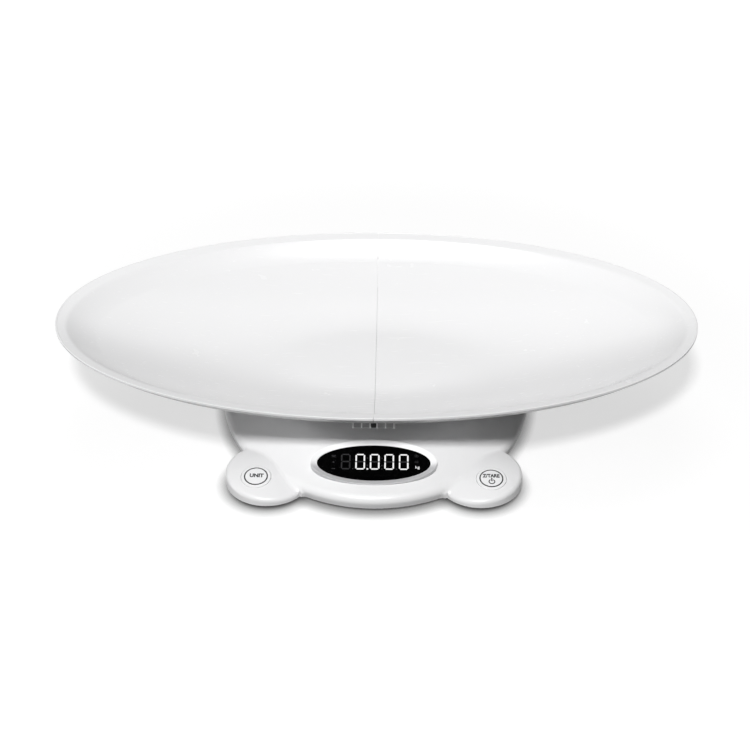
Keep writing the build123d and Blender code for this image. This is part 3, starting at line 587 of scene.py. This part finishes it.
# a bar is a flat hexagon, drawn out between its two pointed ends
bar_tree, given = growing_tree("segment_bars", {"Length": 0.007, "Width": BAR_WIDTH, "Thickness": FILM})
corner_radius = maths(bar_tree, "DIVIDE", given["Width"], math.sqrt(3.0))
hexagon = add_node(bar_tree, "GeometryNodeMeshCylinder", {
    "Vertices": 6, "Radius": corner_radius, "Depth": given["Thickness"]}, fill_type="NGON")
half_bar = maths(bar_tree, "MULTIPLY", given["Length"], 0.5)
stretch = maths(bar_tree, "SUBTRACT", half_bar, corner_radius)
corner = parted(bar_tree, add_node(bar_tree, "GeometryNodeInputPosition"))
pull = maths(bar_tree, "MULTIPLY", maths(bar_tree, "SIGN", corner["X"]), stretch)
bar = add_node(bar_tree, "GeometryNodeSetPosition", {"Geometry": hexagon, "Offset": xyz(bar_tree, x=pull)})
set_on_points(bar_tree, given, bar, aligned="X")

column = DIGIT_WIDTH / 2 - BAR_WIDTH / 2
storey = (DIGIT_HEIGHT - BAR_WIDTH) / 2
TOP_AND_BOTTOM, MIDDLE = [(0.0, storey), (0.0, -storey)], [(0.0, 0.0)]
UPRIGHTS = [(side * column, level * storey / 2) for level in (1, -1) for side in (-1, 1)]
across_length, upright_length = DIGIT_WIDTH - BAR_WIDTH - 2 * BAR_GAP, storey - 2 * BAR_GAP
window_face = leaning(DISPLAY_PLACE, DISPLAY_TILT, FILM / 2 - WINDOW_DEPTH)


def digit_spots(places, digits, axis):
    """These places in each of the digits, which are counted from the left."""
    return [((FIRST_DIGIT_X + digit * DIGIT_PITCH + x, DIGIT_Y + y, 0.0), axis)
            for digit in digits for x, y in places]


def dot_spots(digits, heights):
    """Places just right of the digits, at the heights."""
    return [((FIRST_DIGIT_X + (digit + 0.5) * DIGIT_PITCH, DIGIT_Y + height, 0.0), ALONG)
            for digit in digits for height in heights]


def bars(spots, length, finish, width=BAR_WIDTH):
    """Bars of one length on the spots."""
    return grown_mesh("bars", bar_tree, spots, {"Length": length, "Width": width}, finish)


def lettering(words, finish, middle, width, height, weight=0.0):
    """Flat letters of the given overall size, as a closed thin mesh in the XY plane."""
    curve = bpy.data.curves.new("words", "FONT")
    curve.body = words
    curve.extrude = 0.5  # one unit thick in all, before it is scaled down to the film
    curve.offset = weight
    letters = bpy.data.objects.new("words", curve)
    scene.collection.objects.link(letters)
    bpy.context.view_layer.update()
    evaluated = letters.evaluated_get(bpy.context.evaluated_depsgraph_get())
    mesh = bpy.data.meshes.new_from_object(evaluated)
    bpy.data.objects.remove(letters)
    xs, ys = [v.co.x for v in mesh.vertices], [v.co.y for v in mesh.vertices]
    centre = Vector(((min(xs) + max(xs)) / 2, (min(ys) + max(ys)) / 2, 0.0))
    size = Matrix.Diagonal((width / (max(xs) - min(xs)), height / (max(ys) - min(ys)), FILM, 1.0))
    mesh.transform(Matrix.Translation((*middle, 0.0)) @ size @ Matrix.Translation(-centre))
    mesh.materials.clear()
    mesh.materials.append(finish)
    return mesh


def joined(name, meshes, place):
    """Several meshes made one, each with its own finish, and put in place."""
    body = bmesh.new()
    finishes = []
    for mesh in meshes:
        finish = mesh.materials[0]
        if finish not in finishes:
            finishes.append(finish)
        count = len(body.faces)
        body.from_mesh(mesh)
        body.faces.ensure_lookup_table()
        for face in body.faces[count:]:
            face.material_index = finishes.index(finish)
        bpy.data.meshes.remove(mesh)
    mesh = bpy.data.meshes.new(name)
    body.to_mesh(mesh)
    body.free()
    for finish in finishes:
        mesh.materials.append(finish)
    mesh.transform(place)
    return mesh


zeros, everywhere = range(1, 5), range(0, 5)
lit_meshes = [
    bars(digit_spots(TOP_AND_BOTTOM, zeros, ALONG), across_length, lit_white),
    bars(digit_spots(UPRIGHTS, zeros, UPWARD), upright_length, lit_white),
    bars(dot_spots([1], [-storey]), POINT_LENGTH, lit_white, POINT_WIDTH),
    lettering("kg", lit_white, middle=(0.0377, -0.0042), width=0.0037, height=0.0036)]
dark_meshes = [
    bars(digit_spots(MIDDLE, everywhere, ALONG) + digit_spots(TOP_AND_BOTTOM, [0], ALONG), across_length,
         unlit_grey),
    bars(digit_spots(UPRIGHTS, [0], UPWARD), upright_length, unlit_grey),
    bars(dot_spots([1, 2], [-storey / 2, storey / 2]), FAINT_LENGTH, unlit_grey, FAINT_WIDTH),
    bars(dot_spots([0, 2, 3], [-storey]), FAINT_LENGTH, unlit_grey, FAINT_WIDTH),
    lettering("lb", unlit_grey, middle=(0.0369, 0.0080), width=0.0032, height=0.0030),
    lettering("oz", unlit_grey, middle=(0.0369, 0.0017), width=0.0034, height=0.0022)]

# hold, net and battery marks at the left edge: each bar's height, axis and length
MARK_BARS = ((0.0078, ALONG, 0.0040), (0.0066, ALONG, 0.0030), (-0.0060, ALONG, 0.0034),
             (0.0008, ALONG, 0.0020), (0.0008, UPWARD, 0.0020))
dark_meshes += [bars([((MARK_X, y, 0.0), axis)], length, unlit_grey, MARK_LINE)
                for y, axis, length in MARK_BARS]
for name, meshes in (("lit_segments", lit_meshes), ("unlit_segments", dark_meshes)):
    fit_piece(name, joined(name, meshes, window_face), "base", "lcd_glass")

# ------------------------------------------------------------------ display stack
# Behind the window lie the segment glass, its light box and the main board,
# glass-fibre laminate under green solder mask with three epoxy packages.
MASK_GREEN, OVER_COPPER = (0.02, 0.16, 0.06, 1.0), (0.05, 0.30, 0.10, 1.0)
TIN = (0.72, 0.71, 0.68, 1.0)
RUN_SCALE, PAD_SCALE = 260.0, 442.0  # copper runs and bare pads per metre

panel_glass = moulded("panel_glass", colour=(0.012, 0.013, 0.016, 1.0), shade=0.3, clouds=40.0,
                      roughness=0.12, spread=0.05, grain=900.0, ripple_depth=0.000005, ior=1.52)
natural_abs = moulded("natural_abs", colour=(0.76, 0.75, 0.71, 1.0), shade=0.08, clouds=30.0, roughness=0.48,
                      spread=0.1, grain=1400.0, rub_depth=0.1, ripple_depth=0.00005)
package_epoxy = moulded("package_epoxy", colour=(0.02, 0.02, 0.021, 1.0), shade=0.3, clouds=120.0,
                        roughness=0.55, spread=0.15, grain=4000.0, ripple_depth=0.00003, ior=1.55)

# green solder mask, paler over its copper runs, with bare tinned pads
green_board, tree = node_material("green_board")
place = object_place(tree)
runs = add_node(tree, "ShaderNodeTexVoronoi", {"Vector": place, "Scale": RUN_SCALE, "Randomness": 0.85},
                feature="DISTANCE_TO_EDGE")
pads = add_node(tree, "ShaderNodeTexVoronoi", {"Vector": place, "Scale": PAD_SCALE, "Randomness": 0.7})
copper, bare = ramp(tree, runs, low=0.10, high=0.05), ramp(tree, pads, low=0.16, high=0.13)
mask = skinned(tree, MASK_GREEN, shade=0.25, clouds=50.0, roughness=0.3, spread=0.1, grain=2400.0)
masked = mixed_colour(tree, copper, mask["Color"], OVER_COPPER)
surfaced(tree, {
    "Base Color": mixed_colour(tree, bare, masked, TIN), "Roughness": mask["Roughness"], "Metallic": bare,
    "Normal": relief(tree, copper, strength=0.6, distance=0.00004)})

dress(panel_glass, "lcd_panel")
dress(natural_abs, "backlight")
dress(green_board, "main_board", "unit_key_board", "tare_key_board")
dress(package_epoxy, "board_chips")

# ------------------------------------------------------------------ buttons
# Each key cap is white ABS, flush with its lobe, printed in grey ink with a
# ring and a word: UNIT on the left, zero and tare over a power sign right.
BUTTON_X, BUTTON_Y, BUTTON_Z = 0.101, -0.144, 0.01799
BUTTON_TILT = 8.144  # degrees that a cap leans towards the front
CAP_RADIUS = 0.1203  # radius of the sphere that the cap is cut from
CAP_PROUD = 0.0003
INK_SHOWN = 0.4  # share of the ink's film between its middle and the cap's face
RING_RADIUS, RING_LINE = 0.00975, 0.0011
POWER_MIDDLE, POWER_RADIUS, POWER_LINE = (0.0003, -0.0041), 0.0024, 0.0009
POWER_START, POWER_SWEEP = math.radians(118), math.radians(304)
POWER_STEM, STEM_LINE = 0.0042, 0.0011
INK_WEIGHT = 0.045  # how much the letters are fattened

cap_gloss = moulded("cap_gloss", colour=(0.87, 0.87, 0.875, 1.0), shade=0.02, clouds=30.0, roughness=0.3,
                    spread=0.06, grain=900.0, rub_depth=0.08)
grey_ink = moulded("grey_ink", colour=(0.022, 0.022, 0.024, 1.0), shade=0.3, clouds=700.0, roughness=0.55,
                   spread=0.15, grain=5000.0, ripple_depth=0.00001)
dress(cap_gloss, "unit_button", "tare_button")
dress(package_epoxy, "unit_switch", "tare_switch")
dress(clip_nylon, "unit_plunger", "tare_plunger")

arc_tree, given = growing_tree("printed_arcs", {
    "Radius": RING_RADIUS, "Start": 0.0, "Sweep": 2 * math.pi, "Line": RING_LINE, "Thickness": FILM})
arc = add_node(arc_tree, "GeometryNodeCurveArc", {
    "Resolution": 73, "Radius": given["Radius"], "Start Angle": given["Start"],
    "Sweep Angle": given["Sweep"]}, mode="RADIUS")
line_section = add_node(arc_tree, "GeometryNodeCurvePrimitiveQuadrilateral",
                        {"Width": given["Line"], "Height": given["Thickness"]}, mode="RECTANGLE")
set_on_points(arc_tree, given, swept(arc_tree, arc, line_section))


def ring(middle=(0.0, 0.0), radius=RING_RADIUS, line=RING_LINE, start=0.0, sweep=2 * math.pi):
    """A printed ring, or an arc of one, in the XY plane."""
    sizes = {"Radius": radius, "Line": line, "Start": start, "Sweep": sweep}
    return grown_mesh("ring", arc_tree, [((*middle, 0.0), (0.0, 0.0, 1.0))], sizes, grey_ink)


def printed_on_cap(name, meshes, side, body):
    """Ink in the XY plane, bent to the cap's crown and set on it."""
    mesh = joined(name, meshes, Matrix.Identity(4))
    for vertex in mesh.vertices:
        x, y, z = vertex.co
        vertex.co.z = z + math.sqrt(CAP_RADIUS**2 - x**2 - y**2) - CAP_RADIUS
    mesh.transform(leaning((side * BUTTON_X, BUTTON_Y, BUTTON_Z), BUTTON_TILT, CAP_PROUD + FILM * INK_SHOWN))
    fit_piece(name, mesh, body, "black_nylon")


stem_place = (POWER_MIDDLE[0], POWER_MIDDLE[1] + POWER_RADIUS, 0.0)
printed_on_cap("unit_print", [
    ring(), lettering("UNIT", grey_ink, middle=(0.0006, 0.0007), width=0.0120, height=0.0044,
                      weight=INK_WEIGHT)], -1, "unit_key")
printed_on_cap("tare_print", [
    ring(), lettering("Z/TARE", grey_ink, middle=(-0.0002, 0.0028), width=0.0146, height=0.0043,
                      weight=INK_WEIGHT),
    ring(POWER_MIDDLE, POWER_RADIUS, POWER_LINE, POWER_START, POWER_SWEEP),
    bars([(stem_place, UPWARD)], POWER_STEM, grey_ink, STEM_LINE)], 1, "tare_key")

# ------------------------------------------------------------------ feet and load cells
# Under each corner a pressed spring-steel cell sits in a natural ABS seat; the
# grey foot below it carries a soft rubber pad with turned grooves.
FOOT_X, FOOT_Y = 0.076, 0.085
FOOT_PLACES = [(side * FOOT_X, end * FOOT_Y) for side in (-1, 1) for end in (-1, 1)]
CORNERS = ("front_left", "front_right", "back_left", "back_right")
PAD_RADIUS, PAD_HEIGHT, PAD_ROUND = 0.0185, 0.0021, 0.0005
ROUND_MIDDLE = 0.3  # where the middle of the pad's round lies, by PAD_ROUND
GROOVE_RADII = (0.0055, 0.0095, 0.0135)
GROOVE_HALF, GROOVE_FLOOR, GROOVE_DEPTH = 0.0006, 0.00036, 0.0006  # half widths of its mouth and its floor
LATHE_STEPS = 64

foot_grey = moulded("foot_grey", colour=(0.62, 0.62, 0.63, 1.0), shade=0.06, clouds=30.0, roughness=0.5,
                    spread=0.1, grain=1600.0, rub_depth=0.15, ripple_depth=0.00005)
pad_rubber = moulded("pad_rubber", colour=(0.20, 0.20, 0.205, 1.0), shade=0.25, clouds=70.0, roughness=0.78,
                     spread=0.15, grain=3200.0, ripple_depth=0.00009, ior=1.48)

# drawn metal: long grain along one direction, darker in its valleys
drawn_metal, given = effect_group(
    "drawn_metal",
    {"Color": (COLOUR, (0.6, 0.6, 0.6, 1.0)), "Valley": (COLOUR, (0.4, 0.4, 0.4, 1.0)),
     "Run": (VECTOR, (30.0, 900.0, 900.0)), "Roughness": (FLOAT, 0.3), "Spread": (FLOAT, 0.2)},
    {"Color": COLOUR, "Roughness": FLOAT, "Height": FLOAT})
lined_up = vector_maths(drawn_metal, "MULTIPLY", object_place(drawn_metal), given["Run"])
lines = noise(drawn_metal, lined_up, scale=1.0, detail=4.0, roughness=0.65)
add_node(drawn_metal, "NodeGroupOutput", {
    "Color": mixed_colour(drawn_metal, lines, given["Valley"], given["Color"]),
    "Roughness": maths(drawn_metal, "MULTIPLY_ADD", lines, given["Spread"], given["Roughness"]),
    "Height": lines})


def metal(name, colour, valley, run, roughness):
    """Drawn, rolled or plated metal with its grain along the smallest number of run."""
    material, tree = node_material(name)
    grain = effect(tree, drawn_metal, {"Color": colour, "Valley": valley, "Run": run, "Roughness": roughness})
    surfaced(tree, {
        "Base Color": grain["Color"], "Roughness": grain["Roughness"], "Metallic": 1.0,
        "Normal": relief(tree, grain["Height"], strength=0.4, distance=0.00001)})
    return material


cell_steel = metal("cell_steel", colour=(0.62, 0.62, 0.63, 1.0), valley=(0.44, 0.44, 0.45, 1.0),
                   run=(60.0, 1400.0, 1400.0), roughness=0.28)
for finish, part in ((foot_grey, "foot"), (natural_abs, "load_cell_seat"), (cell_steel, "load_cell")):
    dress(finish, *[f"{part}_{corner}" for corner in CORNERS])


def turned(name, profile, place, *finishes):
    """A lathe-turned closed solid about Z, moved to place; a profile point is radius, height and the
    number of the finish on the band up to the next point."""
    body = bmesh.new()
    rings = []
    for radius, height, _ in profile:
        if radius == 0.0:
            rings.append([body.verts.new((0.0, 0.0, height))] * LATHE_STEPS)
        else:
            turns = [2 * math.pi * step / LATHE_STEPS for step in range(LATHE_STEPS)]
            rings.append([body.verts.new((radius * math.cos(turn), radius * math.sin(turn), height))
                          for turn in turns])
    for (lower, upper), (_, _, finish) in zip(zip(rings, rings[1:]), profile):
        for step in range(LATHE_STEPS):
            after = (step + 1) % LATHE_STEPS
            corners = dict.fromkeys([lower[step], lower[after], upper[after], upper[step]])
            body.faces.new(list(corners)).material_index = finish
    bmesh.ops.recalc_face_normals(body, faces=body.faces)
    body.transform(place)
    return finished_mesh(name, body, *finishes)


pad_profile = [(0.0, 0.0, 0)]
for radius in GROOVE_RADII:
    pad_profile += [(radius - GROOVE_HALF, 0.0, 0), (radius - GROOVE_FLOOR, GROOVE_DEPTH, 0),
                    (radius + GROOVE_FLOOR, GROOVE_DEPTH, 0), (radius + GROOVE_HALF, 0.0, 0)]
pad_profile += [
    (PAD_RADIUS - PAD_ROUND, 0.0, 0), (PAD_RADIUS - PAD_ROUND * ROUND_MIDDLE, PAD_ROUND * ROUND_MIDDLE, 0),
    (PAD_RADIUS, PAD_ROUND, 0), (PAD_RADIUS, PAD_HEIGHT, 0), (0.0, PAD_HEIGHT, 0)]
pads = [turned("pad", pad_profile, Matrix.Translation((x, y, 0.0)), pad_rubber) for x, y in FOOT_PLACES]
pads_mesh = joined("foot_pads", pads, Matrix.Identity(4))
pads_mesh.shade_smooth()
pads_mesh.set_sharp_from_angle(angle=ROUND_ANGLE)
fit_piece("foot_pads", pads_mesh, "base", "pad_rubber", *[f"foot_pad_{corner}" for corner in CORNERS])

# ------------------------------------------------------------------ batteries and contacts
# Four AAA cells lie in turn in the bay: steel cans in a plain dark sleeve with
# a copper-coloured band at the plus end, between nickel-plated contacts.
BATTERY_RADIUS, BATTERY_LENGTH = 0.00525, 0.0433
NUB_RADIUS, NUB_LENGTH = 0.0019, 0.0012
BAY_FLOOR_Z, BATTERY_PLAY = 0.0075, 0.0003
BATTERY_Z = BAY_FLOOR_Z + BATTERY_PLAY + BATTERY_RADIUS
BATTERIES, BAY_Y, ROW_PITCH = 4, 0.044, 0.011
CONTACT_X = 0.0237
SPRING_LENGTH, SPRING_WIRE, SPRING_TURNS = 0.0029, 0.00035, 3.6
SPRING_FOOT, SPRING_TIP = 0.00305, 0.0019

can_steel = metal("can_steel", colour=(0.72, 0.72, 0.73, 1.0), valley=(0.55, 0.55, 0.56, 1.0),
                  run=(900.0, 60.0, 900.0), roughness=0.2)
sleeve_film = moulded("sleeve_film", colour=(0.028, 0.03, 0.036, 1.0), shade=0.25, clouds=60.0,
                      roughness=0.24, spread=0.08, grain=900.0, rub_depth=0.15)
sleeve_band = moulded("sleeve_band", colour=(0.42, 0.20, 0.08, 1.0), shade=0.2, clouds=80.0,
                      roughness=0.26, spread=0.08, grain=900.0, rub_depth=0.15)
plated_nickel = metal("plated_nickel", colour=(0.76, 0.75, 0.72, 1.0), valley=(0.62, 0.61, 0.58, 1.0),
                      run=(700.0, 700.0, 60.0), roughness=0.14)
dress(plated_nickel, "contact_plates")

# the can's outline from its flat end to its nub: radius, height and finish
STEEL, SLEEVE, BAND = 0, 1, 2
can_profile = [
    (0.0, 0.0, STEEL), (0.0040, 0.0, STEEL), (0.0044, 0.0003, STEEL), (0.0049, 0.0003, SLEEVE),
    (BATTERY_RADIUS, 0.0008, SLEEVE), (BATTERY_RADIUS, 0.0335, BAND),
    (BATTERY_RADIUS, BATTERY_LENGTH - 0.0008, BAND), (0.0049, BATTERY_LENGTH - 0.0002, STEEL),
    (0.0043, BATTERY_LENGTH - 0.0002, STEEL), (0.0038, BATTERY_LENGTH, STEEL),
    (NUB_RADIUS, BATTERY_LENGTH, STEEL), (NUB_RADIUS, BATTERY_LENGTH + NUB_LENGTH - 0.0003, STEEL),
    (NUB_RADIUS - 0.0003, BATTERY_LENGTH + NUB_LENGTH, STEEL), (0.0, BATTERY_LENGTH + NUB_LENGTH, STEEL)]
spring_spots = []
for row in range(BATTERIES):
    y = BAY_Y + (row - (BATTERIES - 1) / 2) * ROW_PITCH
    toward = 1 if row % 2 else -1  # the side that the plus end faces
    start = Matrix.Translation((toward * (CONTACT_X - NUB_LENGTH - BATTERY_LENGTH), y, BATTERY_Z))
    lie_down = Matrix.Rotation(toward * math.pi / 2, 4, "Y")
    cell = turned(f"cell_{row + 1}", can_profile, start @ lie_down, can_steel, sleeve_film, sleeve_band)
    fit_piece(f"cell_{row + 1}", cell, "base", "battery_case", f"battery_{row + 1}")
    spring_spots.append(((-toward * CONTACT_X, y, BATTERY_Z), (toward, 0.0, 0.0)))


def moved(tree, geometry, offset):
    """A shape moved by an offset."""
    return add_node(tree, "GeometryNodeTransform", {"Geometry": geometry, "Translation": offset})


spring_tree, given = growing_tree("coil_springs", {
    "Turns": SPRING_TURNS, "Foot Radius": SPRING_FOOT, "Tip Radius": SPRING_TIP,
    "Height": SPRING_LENGTH - 2 * SPRING_WIRE, "Wire Radius": SPRING_WIRE})
coil = add_node(spring_tree, "GeometryNodeCurveSpiral", {
    "Resolution": 36, "Rotations": given["Turns"], "Start Radius": given["Foot Radius"],
    "End Radius": given["Tip Radius"], "Height": given["Height"]})
wound = swept(spring_tree, coil, round_section(spring_tree, given["Wire Radius"], corners=10))
set_on_points(spring_tree, given, moved(spring_tree, wound, xyz(spring_tree, z=given["Wire Radius"])))
fit_piece("coil_springs", grown_mesh("coil_springs", spring_tree, spring_spots, {}, plated_nickel),
          "base", "contact_steel", "contact_springs")

# ------------------------------------------------------------------ screws
# Zinc-plated pan-head screws with a cross recess: seven up through the floor
# into the top housing's bosses, and small ones that hold the boards.
SCREW_Z = 0.0086  # seat of the housing screws' heads
BACK_SCREW = (0.0, 0.158)
SIDE_SCREWS = ((0.118, 0.060), (0.118, -0.055), (0.058, -0.146))
HOUSING_SCREW = {"Head Radius": 0.0027, "Head Height": 0.0018, "Shank Radius": 0.0014,
                 "Shank Length": 0.0069}
BOARD_SCREW = {"Head Radius": 0.0018, "Head Height": 0.0010, "Shank Radius": 0.0009, "Shank Length": 0.0040}
WING_LENGTH, WING_WIDTH = 1.15, 0.28  # the cross recess, by the head's radius
BOARD_SEAT = 0.0114  # depth of the main board's far face under the display's plane
KEY_BOARD_SEAT = 0.0074  # depth of a key board's far face under the crown at its cap
BOARD_SCREW_X, BOARD_SCREW_Y = 0.045, 0.0155
KEY_SCREW_X = 0.0168

screw_zinc = metal("screw_zinc", colour=(0.60, 0.61, 0.64, 1.0), valley=(0.40, 0.41, 0.43, 1.0),
                   run=(500.0, 500.0, 500.0), roughness=0.26)

# the head is the upper half of a squashed ball, and two crossed blades cut its recess
screw_tree, given = growing_tree("cross_screws", HOUSING_SCREW)
head_radius, head_height = given["Head Radius"], given["Head Height"]
ball = add_node(screw_tree, "GeometryNodeMeshUVSphere", {"Segments": 28, "Rings": 14, "Radius": head_radius})
squash = xyz(screw_tree, 1.0, 1.0, maths(screw_tree, "DIVIDE", head_height, head_radius))
pan = add_node(screw_tree, "GeometryNodeTransform", {"Geometry": ball, "Scale": squash})
point = parted(screw_tree, add_node(screw_tree, "GeometryNodeInputPosition"))
flat_point = xyz(screw_tree, point["X"], point["Y"], maths(screw_tree, "MAXIMUM", point["Z"], 0.0))
head = add_node(screw_tree, "GeometryNodeSetPosition", {"Geometry": pan, "Position": flat_point})
cut_head = add_node(screw_tree, "GeometryNodeMeshBoolean", {"Mesh 1": head}, operation="DIFFERENCE",
                    solver="EXACT")
recess_rise = xyz(screw_tree, z=head_height)
wing, wing_width = [maths(screw_tree, "MULTIPLY", head_radius, share) for share in (WING_LENGTH, WING_WIDTH)]
for x, y in ((wing, wing_width), (wing_width, wing)):
    blade = add_node(screw_tree, "GeometryNodeMeshCube", {"Size": xyz(screw_tree, x, y, head_height)})
    screw_tree.links.new(moved(screw_tree, blade, recess_rise).outputs["Geometry"], cut_head.inputs["Mesh 2"])
shank = add_node(screw_tree, "GeometryNodeMeshCylinder", {
    "Vertices": 20, "Radius": given["Shank Radius"], "Depth": given["Shank Length"]}, fill_type="NGON")
shank_drop = xyz(screw_tree, z=maths(screw_tree, "MULTIPLY", given["Shank Length"], -0.5))
whole_screw = add_node(screw_tree, "GeometryNodeJoinGeometry")
for half in (moved(screw_tree, shank, shank_drop).outputs["Geometry"], cut_head.outputs["Mesh"]):
    screw_tree.links.new(half, whole_screw.inputs["Geometry"])
set_on_points(screw_tree, given, whole_screw)


def screw_spot(face, x, y=0.0):
    """A place on a leaning face and the way out of its far side."""
    return face @ Vector((x, y, 0.0)), -(face.to_3x3() @ Vector((0, 0, 1)))


housing_spots = [((x, y, SCREW_Z), (0.0, 0.0, -1.0))
                 for x, y in [BACK_SCREW] + [(side * x, y) for x, y in SIDE_SCREWS for side in (-1, 1)]]
board_face = leaning(DISPLAY_PLACE, DISPLAY_TILT, -BOARD_SEAT)
board_spots = [screw_spot(board_face, side * BOARD_SCREW_X, end * BOARD_SCREW_Y)
               for side in (-1, 1) for end in (-1, 1)]
for side in (-1, 1):
    key_face = leaning((side * BUTTON_X, BUTTON_Y, BUTTON_Z), BUTTON_TILT, -KEY_BOARD_SEAT)
    board_spots += [screw_spot(key_face, end * KEY_SCREW_X) for end in (-1, 1)]
for name, spots, sizes, replaced in (("floor_screws", housing_spots, HOUSING_SCREW, "housing_screws"),
                                     ("small_screws", board_spots, BOARD_SCREW, "board_screws")):
    fit_piece(name, grown_mesh(name, screw_tree, spots, sizes, screw_zinc), "base", "screw_steel", replaced)
